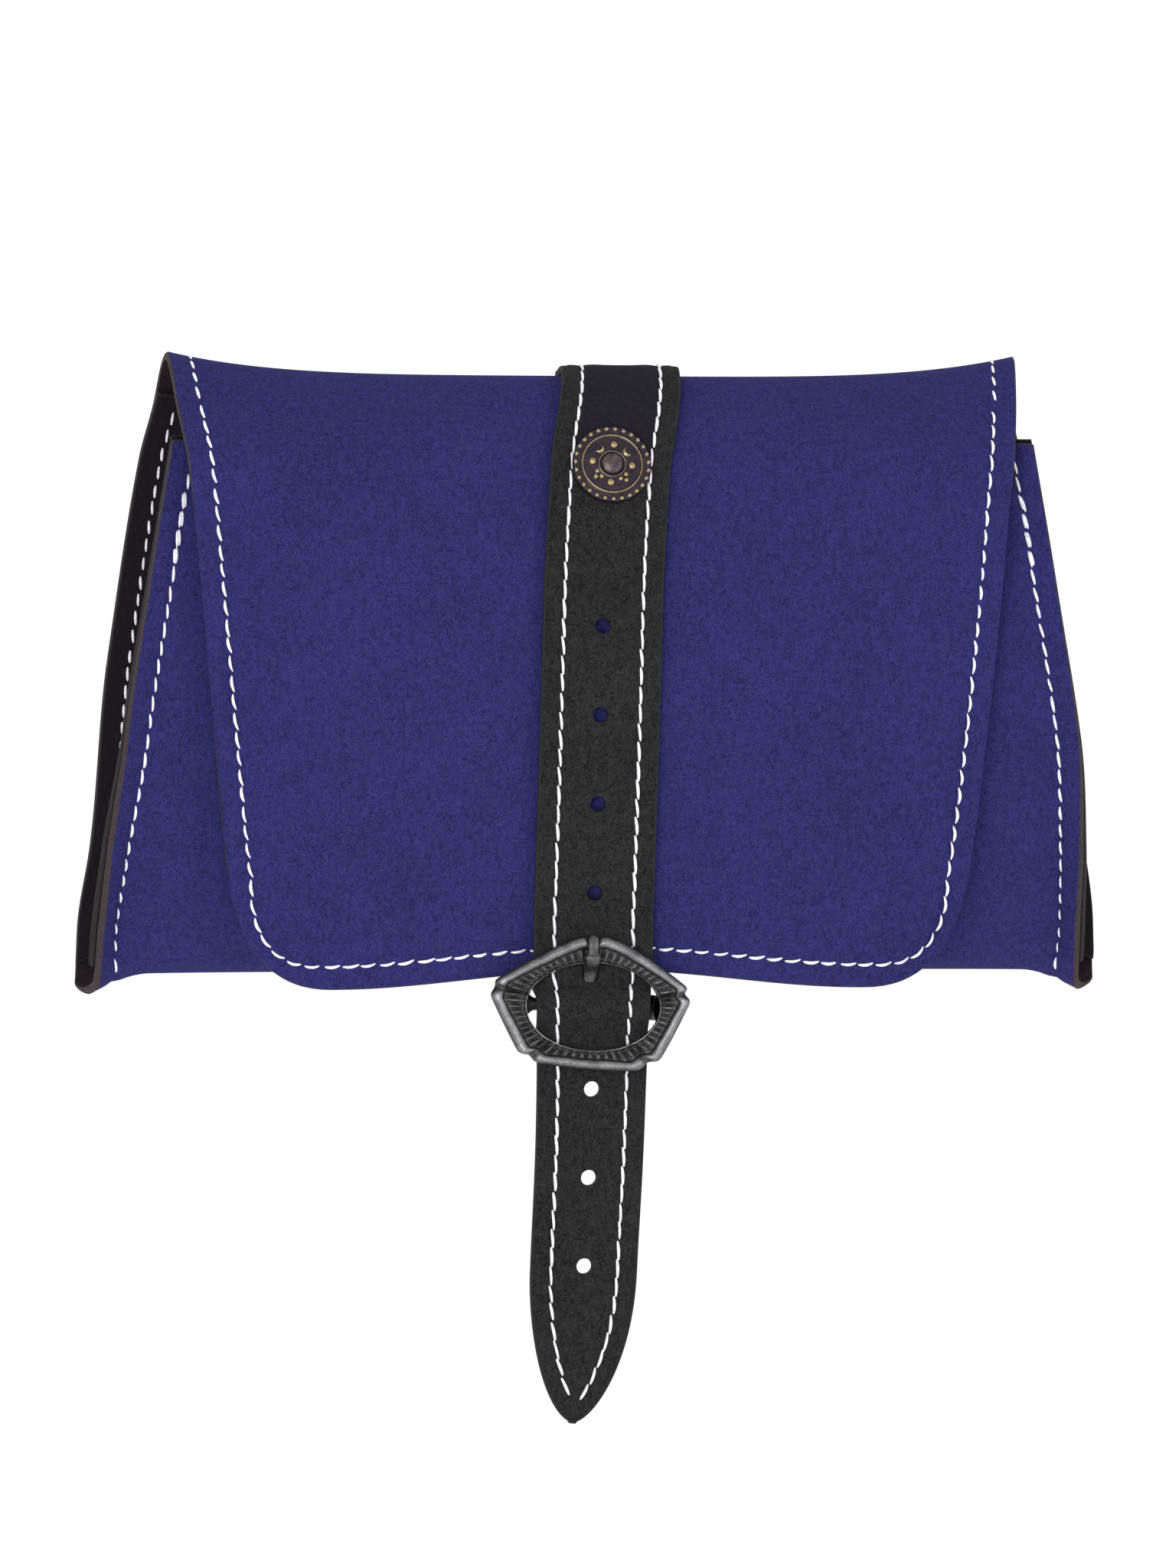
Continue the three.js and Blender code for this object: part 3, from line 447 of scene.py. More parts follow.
class Strap:
    """The strap's middle surface, and the buckle's places on it."""

    def __init__(self, course, strap, metal):
        self.course = course
        self.strap = strap
        self.metal = metal
        bag = course.bag
        heights = [-z * (bag.height if z > 0 else strap.tail_drop) for z, _ in LEAN]
        self.lean = smooth(heights, [x * strap.lean for _, x in LEAN])
        self.bar_x = float(self.lean(metal.drop)) + metal.offset
        edge = course.stations[-2]
        face = float(course.mid_depth(edge)) + bag.thickness / 2
        self.at_rim = face + bag.gap + strap.thickness / 2 + metal.lift
        self.over_bar = self.at_rim + metal.arch
        self.bar_depth = (self.over_bar - strap.thickness / 2 - metal.chape - bag.gap
                          - metal.rim_gap - metal.bar_radius)
        self.frame_back = self.at_rim + strap.thickness / 2 + metal.rim_gap
        self.frame_front = self.frame_back + metal.frame_thickness
        self.line = Line(catmull(self.route()))

    def route(self):
        """Points from the sewn patch behind the bag to the tip."""
        bag = self.course.bag
        strap = self.strap
        metal = self.metal
        place = self.course.place
        on_back = -bag.gap - strap.thickness / 2
        loop = -bag.belt_gap - strap.thickness / 2
        low = bag.belt_height - bag.belt_room / 2
        behind = [
            (on_back, low - strap.patch - bag.belt_gap),
            (on_back, low - strap.patch / 2 - bag.belt_gap),
            (on_back, low - bag.belt_gap * 1.2), (on_back - bag.gap / 2, low - bag.belt_gap),
            (loop, low), (loop, bag.belt_height), (loop, bag.belt_height + bag.belt_room / 2),
            (loop + bag.belt_gap * 0.45, bag.height),
        ]
        points = [place(strap.lean + strap.shift, d, z) for d, z in behind]
        stations = self.course.stations
        first = mix(stations[RIDGE_ROW - 1], stations[RIDGE_ROW], 0.7)
        points += [self.follow(s) for s in np.linspace(first, stations[-2], 27)]
        arch = metal.arch * 0.55
        # Height over the bar as a share of the opening's height, and depth
        buckled = [
            (0.78, self.at_rim - metal.lift * 0.3), (0.55, self.at_rim), (0.235, self.at_rim),
            (0.15, self.at_rim + arch), (0, self.over_bar), (-0.15, self.at_rim + arch),
            (-0.25, self.at_rim), (-0.55, self.at_rim), (-0.8, self.at_rim - metal.lift * 0.3),
        ]
        below = [(share * metal.opening_height - metal.drop, d) for share, d in buckled]
        below += [(-strap.tail_drop * q, self.at_rim - metal.lift * q) for q in (0.4, 0.6, 0.8, 1)]
        points += [place(float(self.lean(-z)), d, z) for z, d in below]
        return points

    def follow(self, s):
        """Point of the strap where it lies on the sheet at a station."""
        course = self.course
        x = float(self.lean(-course.mid_height(s)))
        middle = float(course.sway(s))
        on_sheet = lambda at: course.point(s, (at - middle) / course.stitch_half(s))
        normal = course.normal(s, (x - middle) / course.stitch_half(s))
        swell = max(0, *(float((on_sheet(x + side * self.strap.width / 2) - on_sheet(x)) @ normal)
                         for side in (-1, 1)))
        rise = (course.bag.thickness + self.strap.thickness) / 2 + course.bag.gap + swell
        return on_sheet(x) + normal * rise

    def half(self, z):
        """Half the strap's width at a height over the bottom fold."""
        strap = self.strap
        buckle = self.metal.buckle_height
        curve = smooth([0, 0.2 * buckle, buckle, strap.tail_drop], [0, 0.05, 0.09, 0.115])
        q = np.clip((-z - strap.tail_drop + strap.point) / strap.point, 0, 0.995)
        return strap.width / 2 * (1 - curve(np.maximum(-z, 0))) * (1 - q * q) ** 0.625

    def frame(self, s):
        """Middle point, sideways direction and outward direction."""
        point = self.line.at(s)
        tangent = self.line.tangent(s)
        across = np.zeros_like(tangent)
        across[..., 0] = 1
        across = unit(across - tangent * tangent[..., :1])
        return point, across, unit(np.cross(tangent, across))

    def station(self, height):
        """Length along the strap where its front run has a height over the bottom fold."""
        low = self.line.length * 0.3
        high = self.line.length
        for _ in range(40):
            s = (low + high) / 2
            if self.line.at(s)[2] + self.course.bag.belt_height > height:
                low = s
            else:
                high = s
        return s

    def holes(self):
        """Lengths along the strap of the punched holes' middles."""
        tongue = self.station(self.metal.opening_height * 0.3 - self.metal.drop)
        # In pitches along the strap from the tongue's hole, of which the step below it is wider
        steps = [-4, -3, -2, -1, 1.28, 2.28, 3.28]
        return [tongue + step * self.strap.pitch for step in steps]


def paths():
    """The body's course and the strap's path over it."""
    scene = settings()
    course = Bag(scene.pouch_bag)
    return course, Strap(course, scene.pouch_strap, scene.pouch_metal)


def build(name, verts, faces, materials, indices=None, smooth_faces=True):
    """A mesh object in the shared frame."""
    mesh = bpy.data.meshes.new(name)
    faces = faces if isinstance(faces, list) else faces.tolist()
    mesh.from_pydata(np.asarray(verts, float).tolist(), [], faces)
    for material in materials:
        mesh.materials.append(material)
    if indices is not None:
        mesh.polygons.foreach_set("material_index", np.asarray(indices, np.int32))
    mesh.polygons.foreach_set("use_smooth", np.full(len(mesh.polygons), smooth_faces))
    mesh.update()
    piece = bpy.data.objects.new(name, mesh)
    bpy.context.scene.collection.objects.link(piece)
    return piece


def attribute(piece, name, values):
    """A number for each point of the mesh, which its material reads."""
    data = piece.data.attributes.new(name, "FLOAT", "POINT")
    data.data.foreach_set("value", np.asarray(values, np.float32))


def dress(piece, slot, *nodes):
    """The piece rides on the pouch and stands for CAD nodes. slot is not used."""
    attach(piece, "root")
    if nodes:
        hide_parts(*nodes)
    return piece


def sheet(name, middle, thickness, materials, outer=0.0, inner=0.0, round_edge=0.17):
    """Closed leather sheet round a grid of middle points, with rounded cut edges.

    outer and inner are how far each face stands off its even thickness.
    """
    rows, columns = middle.shape[:2]
    along = np.gradient(middle, axis=0)
    across = np.gradient(middle, axis=1)
    normal = unit(np.cross(along, across))
    front = middle + normal * (thickness / 2 + np.broadcast_to(outer, (rows, columns)))[..., None]
    back = middle - normal * (thickness / 2 + np.broadcast_to(inner, (rows, columns)))[..., None]
    grid = np.arange(rows * columns).reshape(rows, columns)
    loop = np.concatenate([grid[0, :-1], grid[:-1, -1], grid[-1, :0:-1], grid[:0:-1, 0]])
    inward = np.concatenate([grid[1, :-1], grid[:-1, -2], grid[-2, :0:-1], grid[:0:-1, 1]])
    flat = middle.reshape(-1, 3)
    out = unit(flat[loop] - flat[inward])
    normals = normal.reshape(-1, 3)[loop]
    rings = [flat[loop] + out * thickness * round_edge * swell + normals * thickness * level
             for level, swell in ((0.36, 0.8), (0, 1.15), (-0.36, 0.8))]
    verts = np.concatenate([front.reshape(-1, 3), back.reshape(-1, 3), *rings])
    a, b, c, d = grid[:-1, :-1], grid[1:, :-1], grid[1:, 1:], grid[:-1, 1:]
    face = np.stack([a, b, c, d], axis=-1).reshape(-1, 4)
    size = rows * columns
    walls = [loop, *(2 * size + len(loop) * k + np.arange(len(loop)) for k in range(3)), loop + size]
    sides = [np.stack([upper, np.roll(upper, -1), np.roll(lower, -1), lower], axis=-1)
             for upper, lower in zip(walls, walls[1:])]
    faces = np.concatenate([face, face[:, ::-1] + size, *sides])
    indices = np.concatenate([np.zeros(len(face)), np.full(len(face), 1),
                              np.full(len(faces) - 2 * len(face), 2)])
    return build(name, verts, faces, materials, indices)


def stitches(name, points, normals, thread, lift=0.0, seed=1, bow=0.0, stretch=0.88):
    """A row of stitches of thick thread along a line on a surface. bow bends each one sideways."""
    line = Line(np.concatenate([points, normals], axis=1))
    reach = Line(points).reach
    line.reach = reach
    count = int(reach[-1] / thread.pitch)
    rng = np.random.default_rng(seed)
    start = np.arange(count) * thread.pitch + (reach[-1] - count * thread.pitch) / 2
    start = start + rng.uniform(-0.05, 0.05, count) * thread.pitch
    size = thread.stitch * stretch * rng.uniform(0.92, 1.08, count)
    thick = rng.uniform(0.86, 1.1, count)
    skew = rng.uniform(0.5, 1.5, count)
    rings = 11
    sides = 8
    q = np.linspace(0, 1, rings)
    s = start[:, None] + size[:, None] * q
    data = line.at(s)
    spot = data[..., :3]
    normal = unit(data[..., 3:])
    along = unit(np.gradient(spot, axis=1))
    across = unit(np.cross(normal, along))
    rise = np.sin(np.pi * q) ** 0.6
    lean = (q - 0.5) * 1.3 * skew[:, None] + bow * (np.sin(np.pi * q) - 0.6)
    centre = spot + normal * (thread.radius * (1.35 * rise - 0.75) + lift)[None, :, None]
    centre = centre + across * (lean * thread.radius)[..., None]
    radius = thread.radius * (0.28 + 0.72 * np.sin(np.pi * q) ** 0.6) * thick[:, None]
    angle = np.linspace(0, 2 * np.pi, sides, endpoint=False)
    ring = (np.cos(angle)[:, None] * across[:, :, None, :]
            + np.sin(angle)[:, None] * normal[:, :, None, :])
    verts = centre[:, :, None, :] + ring * radius[..., None, None]
    index = np.arange(count * rings * sides).reshape(count, rings, sides)
    nxt = np.roll(index, -1, axis=2)
    quads = np.stack([index[:, :-1], nxt[:, :-1], nxt[:, 1:], index[:, 1:]], axis=-1).reshape(-1, 4)
    caps = [index[:, end, corners].reshape(-1, 4)
            for end, corners in ((0, [3, 2, 1, 0]), (0, [5, 4, 3, 0]), (0, [7, 6, 5, 0]),
                                 (-1, [0, 1, 2, 3]), (-1, [0, 3, 4, 5]), (-1, [0, 5, 6, 7]))]
    piece = build(name, verts.reshape(-1, 3), np.concatenate([quads, *caps]), [thread_material()])
    return dress(piece, "body_suede")


def relief_mesh(name, verts, rows, columns, materials, closed_rows=False, relief=None):
    """A grid that closes round its columns, such as a ring's sections."""
    grid = np.arange(rows * columns).reshape(rows, columns)
    nxt = np.roll(grid, -1, axis=1)
    upper = grid if closed_rows else grid[:-1]
    lower = np.roll(grid, -1, axis=0) if closed_rows else grid[1:]
    near = nxt if closed_rows else nxt[:-1]
    far = np.roll(nxt, -1, axis=0) if closed_rows else nxt[1:]
    faces = np.stack([upper, lower, far, near], axis=-1).reshape(-1, 4)
    piece = build(name, verts.reshape(-1, 3), faces, materials)
    if relief is not None:
        attribute(piece, "relief", relief.reshape(-1))
    return piece


# Materials

def add(tree, kind, values=None, stops=(), **options):
    """A node with its options and colour stops, its inputs set to values or linked to sockets."""
    node = tree.nodes.new(kind)
    for key, value in options.items():
        setattr(node, key, value)
    for index, (position, stop_colour) in enumerate(stops):
        if index > 1:
            node.color_ramp.elements.new(1.0)
        node.color_ramp.elements[index].position = position
        node.color_ramp.elements[index].color = stop_colour
    for key, value in (values or {}).items():
        if isinstance(value, bpy.types.NodeSocket):
            tree.links.new(value, node.inputs[key])
        else:
            node.inputs[key].default_value = value
    return node


def start_material(name):
    """A material with its new node tree and shader, or without them where it exists already."""
    material = bpy.data.materials.get(name)
    if material:
        return material, None, None
    material = bpy.data.materials.new(name)
    material.use_nodes = True
    tree = material.node_tree
    tree.nodes.clear()
    shader = add(tree, "ShaderNodeBsdfPrincipled")
    add(tree, "ShaderNodeOutputMaterial", {"Surface": shader.outputs["BSDF"]})
    return material, tree, shader


def per_metre(millimetres):
    """Noise scale whose features have about this size."""
    return 1000 / millimetres


def tone(colour, share):
    """A colour made darker or lighter by a share of itself."""
    return (*(channel * share for channel in colour[:3]), 1.0)


def suede_material(name, colour, nap=0.5, sheen=0.12, contrast=0.66, tint=None):
    """Suede: a buffed nap of short fibres, darker where it lies down and lighter where it stands up."""
    material, tree, shader = start_material(name)
    if tree is None:
        return material
    place = add(tree, "ShaderNodeTexCoord").outputs["Object"]
    flat = add(tree, "ShaderNodeMapping", {"Vector": place, "Scale": (1, 1, 0.6)}).outputs["Vector"]
    light = tone(colour, 1 + contrast)
    heights = []
    shaded = None
    for vector, size, rough, spread, share in (
            (place, nap, 0.7, 0.14, 1), (flat, 1.3, 0.65, 0.14, 0.3), (place, 24, 0.55, 0.2, 0.1)):
        layer = add(tree, "ShaderNodeTexNoise",
                    {"Vector": vector, "Scale": per_metre(size), "Detail": 3, "Roughness": rough})
        heights.append(layer.outputs["Fac"])
        toned = add(tree, "ShaderNodeValToRGB", {"Fac": heights[-1]},
                    ((0.5 - spread, tone(colour, 1 - contrast)), (0.5, colour), (0.5 + spread, light)))
        toned = toned.outputs["Color"]
        if shaded is not None:
            toned = add(tree, "ShaderNodeMix", {0: share, 6: shaded, 7: toned},
                        data_type="RGBA").outputs[2]
        shaded = toned
    if tint:
        mask = add(tree, "ShaderNodeAttribute", attribute_name="tint").outputs["Fac"]
        tinted = add(tree, "ShaderNodeValToRGB", {"Fac": heights[0]},
                     ((0.38, tone(tint, 0.7)), (0.64, tone(tint, 1.3)))).outputs["Color"]
        shaded = add(tree, "ShaderNodeMix", {0: mask, 6: shaded, 7: tinted},
                     data_type="RGBA").outputs[2]
    tree.links.new(shaded, shader.inputs["Base Color"])
    fine = add(tree, "ShaderNodeBump", {"Height": heights[0], "Strength": 0.7, "Distance": 0.0003})
    soft = add(tree, "ShaderNodeBump",
               {"Height": heights[1], "Strength": 0.5, "Distance": 0.0006, "Normal": fine.outputs[0]})
    tree.links.new(soft.outputs[0], shader.inputs["Normal"])
    shader.inputs["Roughness"].default_value = 0.95
    shader.inputs["Specular IOR Level"].default_value = 0.15
    shader.inputs["Sheen Weight"].default_value = sheen
    shader.inputs["Sheen Roughness"].default_value = 0.5
    shader.inputs["Sheen Tint"].default_value = light
    return material


def chosen(name):
    """A colour from the panel."""
    return (*getattr(settings().pouch_colours, name), 1.0)


def body_suede():
    """Blue-violet suede of the body's outer face."""
    return suede_material("suede_blue_violet", chosen("body"))


def body_flesh():
    """Unbuffed inner face of the body's leather, dark and rough."""
    return suede_material("leather_flesh_side", chosen("flesh"), nap=0.6, sheen=0.05)


def strap_suede():
    """Charcoal suede of the strap, with a trace of aubergine above the concho."""
    return suede_material("suede_charcoal", chosen("strap"), nap=0.6, sheen=0.08, contrast=0.9,
                          tint=chosen("tint"))


def gusset_suede():
    """Black suede of the gussets."""
    return suede_material("suede_black", chosen("gusset"), nap=0.42, sheen=0.06, contrast=0.4)


def edge_material(name, colour):
    """Cut edge of leather: fine packed fibres without a nap."""
    material, tree, shader = start_material(name)
    if tree is None:
        return material
    place = add(tree, "ShaderNodeTexCoord").outputs["Object"]
    fibres = add(tree, "ShaderNodeTexNoise", {"Vector": place, "Scale": per_metre(0.5), "Detail": 4,
                                              "Roughness": 0.7}).outputs["Fac"]
    toned = add(tree, "ShaderNodeValToRGB", {"Fac": fibres},
                ((0.35, tone(colour, 0.55)), (0.65, tone(colour, 1.45))))
    tree.links.new(toned.outputs["Color"], shader.inputs["Base Color"])
    height = add(tree, "ShaderNodeBump", {"Height": fibres, "Strength": 0.7, "Distance": 0.0003})
    tree.links.new(height.outputs[0], shader.inputs["Normal"])
    shader.inputs["Roughness"].default_value = 0.85
    shader.inputs["Specular IOR Level"].default_value = 0.3
    return material


def body_edge():
    """Raw brown edge of the body's leather."""
    return edge_material("leather_cut_edge_brown", chosen("edge"))


def strap_edge():
    """Blackened edge of the strap and the gussets."""
    return edge_material("leather_cut_edge_black", chosen("black_edge"))


def thread_material():
    """Waxed white sewing thread, with loose fibres that catch shadow."""
    material, tree, shader = start_material("thread_waxed_white")
    if tree is None:
        return material
    colour = chosen("thread")
    place = add(tree, "ShaderNodeTexCoord").outputs["Object"]
    fuzz = add(tree, "ShaderNodeTexNoise", {"Vector": place, "Scale": per_metre(0.5), "Detail": 3,
                                            "Roughness": 0.65}).outputs["Fac"]
    toned = add(tree, "ShaderNodeValToRGB", {"Fac": fuzz},
                ((0.3, tone(colour, 0.45)), (0.45, tone(colour, 0.85)), (0.6, colour)))
    tree.links.new(toned.outputs["Color"], shader.inputs["Base Color"])
    height = add(tree, "ShaderNodeBump", {"Height": fuzz, "Strength": 0.9, "Distance": 0.0003})
    tree.links.new(height.outputs[0], shader.inputs["Normal"])
    shader.inputs["Roughness"].default_value = 0.6
    shader.inputs["Sheen Weight"].default_value = 0.2
    return material


def cast_material(name, colour, recess, worn, rough):
    """Cast metal with a dark antique finish that is rubbed bright on the high places; its relief
    attribute also carries painted highlight on the buckle's bead.
    """
    material, tree, shader = start_material(name)
    if tree is None:
        return material
    place = add(tree, "ShaderNodeTexCoord").outputs["Object"]
    relief = add(tree, "ShaderNodeAttribute", attribute_name="relief").outputs["Fac"]
    grain, patches = (
        add(tree, "ShaderNodeTexNoise", {"Vector": place, "Scale": per_metre(size), "Detail": detail,
                                         "Roughness": coarse}).outputs["Fac"]
        for size, detail, coarse in ((0.45, 4, 0.7), (2.4, 3, 0.65)))
    broken = add(tree, "ShaderNodeMapRange",
                 {"Value": patches, "From Min": 0.3, "From Max": 0.7, "To Min": -0.12, "To Max": 0.12})
    high = add(tree, "ShaderNodeMath", {0: relief, 1: broken.outputs[0]}, operation="ADD").outputs[0]
    toned = add(tree, "ShaderNodeValToRGB", {"Fac": high},
                ((0.0, recess), (0.45, colour), (0.95, worn)))
    speck = add(tree, "ShaderNodeValToRGB", {"Fac": grain},
                ((0.36, shade("a0a0a0")), (0.58, shade("ffffff"))))
    toned = add(tree, "ShaderNodeMix",
                {0: 0.55, 6: toned.outputs["Color"], 7: speck.outputs["Color"]},
                data_type="RGBA", blend_type="MULTIPLY")
    tree.links.new(toned.outputs[2], shader.inputs["Base Color"])
    dull = add(tree, "ShaderNodeMapRange",
               {"Value": high, "From Min": 0.0, "From Max": 1.0, "To Min": rough + 0.2,
                "To Max": rough})
    tree.links.new(dull.outputs[0], shader.inputs["Roughness"])
    height = add(tree, "ShaderNodeBump", {"Height": grain, "Strength": 0.5, "Distance": 0.00015})
    tree.links.new(height.outputs[0], shader.inputs["Normal"])
    shader.inputs["Metallic"].default_value = 1.0
    return material


def buckle_metal():
    """Zinc alloy, cast, with an antique pewter finish."""
    colour = chosen("pewter")
    return cast_material("zinc_antique_pewter", colour, tone(colour, 0.32), tone(colour, 4.2), 0.36)


def concho_metal():
    """Brass, cast, darkened in the recesses and rubbed on top."""
    return cast_material("brass_antique", chosen("patina"), tone(chosen("patina"), 0.35),
                         chosen("brass"), 0.3)


# Pieces

def body_columns():
    """Columns of the sheet, close together where the stitch lines and the flap's corners are."""
    band = np.linspace(0.885, 1, 14)
    inner = np.linspace(0, 0.885, 30)[:-1]
    side = np.concatenate([inner, band])
    margin = 1 + np.array([0.18, 0.36, 0.54, 0.7, 0.82, 0.91, 0.965, 1])
    half = np.concatenate([side[1:], margin])
    return np.concatenate([-half[::-1], [0], half])


def flap_contour(course, inset, count=260):
    """Places seen from the front of a line at a distance inside the flap's edge, left to right."""
    top = course.stations[RIDGE_ROW + 1]
    s = np.linspace(top, float(course.flap_end(np.array(2.0))), 90)
    x = course.half(s)
    z = course.point(s, 2.0)[:, 2] + course.bag.belt_height
    half = float(course.half(s[-1]))
    angle = np.linspace(0, np.pi / 2, 60)
    straight = half - course.bag.corner_width
    corner_x = straight + course.bag.corner_width * np.cos(angle) ** (2 / CORNER_POWER)
    corner_z = (course.bag.corner_height * (1 - np.sin(angle) ** (2 / CORNER_POWER))
                - FLAP_LOW * course.bag.flap_arch)
    run_x = np.linspace(straight, 0, 60)[1:]
    run_z = course.flap_edge(run_x, half)
    x = np.concatenate([x, corner_x[1:], run_x])
    z = np.concatenate([z, corner_z[1:], run_z])
    right = np.stack([x, z], axis=-1)
    step = np.gradient(right, axis=0)
    out = unit(np.stack([-step[:, 1], step[:, 0]], axis=-1))
    right = right - out * inset
    right = right[np.concatenate([[True], np.linalg.norm(np.diff(right, axis=0), axis=1) > 1e-6])]
    left = right * (-1, 1)
    path = Line(np.concatenate([left, right[::-1][1:]]))
    return path.at(np.linspace(0, path.length, count))


def nearest(places, line):
    """Distance from each place to a line of points."""
    tree = KDTree(len(line))
    for i, spot in enumerate(line):
        tree.insert((*spot, 0), i)
    tree.balance()
    return np.array([tree.find((x, z, 0))[2] for x, z in places])


def seam_valley(distance):
    """How far leather stands off beside a row of stitches, pulled in at it and swelling next to it."""
    press, press_width = 0.00034, 0.0010
    swell, swell_away, swell_width = 0.00010, 0.0026, 0.0014
    return swell * bump(distance - swell_away, swell_width) - press * bump(distance, press_width)


def make_body():
    """The body's suede in one sheet."""
    bag = settings().pouch_bag
    course = Bag(bag)
    columns = body_columns()
    flap_start = course.stations[FLAP_ROW]
    upper = np.linspace(0, flap_start, int(flap_start / bag.grid))
    ends = course.flap_end(columns)
    share = np.linspace(0, 1, int((ends.max() - flap_start) / bag.grid))[1:]
    share = share + 0.25 * np.sin(np.pi * share) * share * (1 - share)
    stations = np.concatenate([
        np.broadcast_to(upper[:, None], (len(upper), len(columns))),
        flap_start + share[:, None] * (ends - flap_start)])
    middle = course.point(stations, columns[None, :])
    x = middle[..., 0]
    z = middle[..., 2] + bag.belt_height
    on_flap = stations > course.stations[RIDGE_ROW]
    places = np.stack([(x - course.sway(stations))[on_flap], z[on_flap]], axis=-1)
    outer = np.zeros(x.shape)
    seam = nearest(places, flap_contour(course, bag.margin, 900))
    foot_inset = 0.006  # faint line that the machine's foot left inside the seam
    foot = nearest(places, flap_contour(course, bag.margin + foot_inset, 900))
    foot_press, foot_width = 0.00010, 0.0007
    outer[on_flap] = seam_valley(seam) - foot_press * bump(foot, foot_width)
    edge_seam = (np.abs(columns) - 1) * bag.margin
    panel_half = 0.12  # about the distance from the middle to the stitch line
    side = np.where(edge_seam < 0, (1 - np.abs(columns)) * panel_half, edge_seam)[None, :]
    outer = np.where(on_flap, outer, seam_valley(side))
    # Soft waves that die out under the strap and at the ridge, and weaken towards the lower edge
    wave = (np.sin(x / 0.023 + 1.3) * np.sin(z / 0.034 + 0.4)
            + 0.5 * np.sin(x / 0.012 + z / 0.019 + 2.0) + 0.35 * np.sin(z / 0.009 - x / 0.03))
    strap_x, strap_room, wave_top, fade = 0.002, 0.022, 0.142, 0.02
    clear = np.clip((np.abs(x - strap_x) - strap_room) / fade, 0, 1)
    calm = np.clip((wave_top - z) / fade, 0, 1) * np.clip(z / fade + 0.6, 0, 1)
    normal = unit(np.cross(np.gradient(middle, axis=0), np.gradient(middle, axis=1)))
    drape = wave * bag.wave * clear * calm * on_flap
    middle = middle + normal * drape[..., None]
    piece = sheet("pouch_body", middle, bag.thickness, [body_suede(), body_flesh(), body_edge()],
                  outer=outer)
    dress(piece, "body_suede", "body")


def gusset_grid(course, side):
    """Middle points of a gusset, with a flange at each side of its web."""
    bag = course.bag
    top = bag.height * COURSE[0].z
    height = np.linspace(top + bag.gusset_rise, bag.gusset_floor, 100)
    front = course.seam_station(np.minimum(height, top), 0, BOTTOM_ROW)
    lifted = bag.gusset_lift * np.clip((height - top) / (bag.height * 0.2) + 1, 0, 1) ** 2
    back = course.seam_station(height + lifted, BACK_LOW_ROW, RIDGE_ROW)
    offset = (bag.thickness + bag.gusset_thickness) / 2 + bag.gap
    spread = np.clip((height - bag.gusset_floor) / (bag.height * 0.17), 0, 1)
    inner = mix(1.3, 1.0, spread)
    lift = np.stack([np.zeros(100), np.zeros(100), np.maximum(height - top, 0)], axis=-1)

    def flange(s, c):
        return course.point(s, side * c) - course.normal(s, side * 1.5) * offset

    steps = np.linspace(0, 1, 8)
    fore = [flange(front, mix(2, inner, q)) + lift for q in steps]
    aft = [flange(back, mix(2, inner, q)) for q in steps]
    reach = np.linalg.norm(fore[-1] - aft[-1], axis=1, keepdims=True) * mix(0.35, 0.45, spread)[:, None]
    first = fore[-1] + unit(fore[-1] - fore[0]) * reach
    second = aft[-1] + unit(aft[-1] - aft[0]) * reach
    web = []
    for q in np.linspace(0, 1, 26)[1:-1]:
        p = 1 - q
        web.append(fore[-1] * p ** 3 + first * 3 * p * p * q + second * 3 * p * q * q
                   + aft[-1] * q ** 3)
    grid = np.stack([*fore, *web, *aft[::-1]], axis=1)
    return grid if side > 0 else grid[:, ::-1]


def make_gussets():
    """The two black gussets."""
    bag = settings().pouch_bag
    course = Bag(bag)
    for side, word in ((-1, "left"), (1, "right")):
        grid = gusset_grid(course, side)
        piece = sheet(f"pouch_gusset_{word}", grid, bag.gusset_thickness,
                      [gusset_suede(), gusset_suede(), strap_edge()])
        dress(piece, "gusset_leather", f"gusset_{word}")


def make_strap():
    """The strap with its holes, from the sewn patch to the tip."""
    course, path = paths()
    strap = path.strap
    tip = path.line.length - strap.point
    run = np.linspace(0, tip, int(tip / strap.grid))
    q = np.linspace(0, 1, 60)[1:]
    s = np.concatenate([run, mix(tip, path.line.length, np.sin(q * np.pi / 2))])
    point, across, _ = path.frame(s)
    half = path.half(point[:, 2] + course.bag.belt_height)
    crowding = 0.86
    v = np.sin(np.linspace(-1, 1, 37) * np.pi / 2 * crowding) / math.sin(math.pi / 2 * crowding)
    grid = point[:, None] + across[:, None] * (v[None, :] * half[:, None])[..., None]
    edge = (1 - np.abs(v))[None, :] * half[:, None]
    inset = np.minimum(strap.inset, half * 0.6)[:, None]
    # Rise, distance from the edge and width of the seam's valley, the swell inside it, the creased
    # line and the rounded edge
    marks = ((-0.00030, inset, 0.0009), (0.00014, inset + 0.0035, 0.0022),
             (-0.00024, strap.crease, 0.00036), (-0.00030, 0, 0.0006))
    outer = sum(rise * bump(edge - place, width) for rise, place, width in marks)
    piece = sheet("pouch_strap", grid, strap.thickness, [strap_suede(), strap_suede(), strap_edge()],
                  outer=outer, inner=outer)
    cutters = []
    for reach in path.holes():
        spot, _, out = path.frame(np.array(reach))
        cutters.append(cylinder(spot, out, strap.hole / 2, strap.thickness * 3, 40))
    cut(piece, cutters + [tongue_piece(path, grow=course.bag.gap)])
    piece.data.set_sharp_from_angle(angle=math.radians(55))
    x, depth, height = np.array([v.co for v in piece.data.vertices]).T
    height = height + course.bag.belt_height
    centre = path.lean(-np.clip(height, 0.1, 0.16))
    soft_side, soft_end, front_depth, full_tint = 0.0012, 0.008, -0.006, 0.85
    lane = np.clip((strap.width / 2 - strap.inset - np.abs(x - centre)) / soft_side + 0.5, 0, 1)
    concho = course.bag.height - path.metal.concho_drop
    fade = np.clip((height - concho) / soft_end + 0.5, 0, 1)
    attribute(piece, "tint", full_tint * lane * fade * (depth < front_depth))
    dress(piece, "strap_suede", "strap")


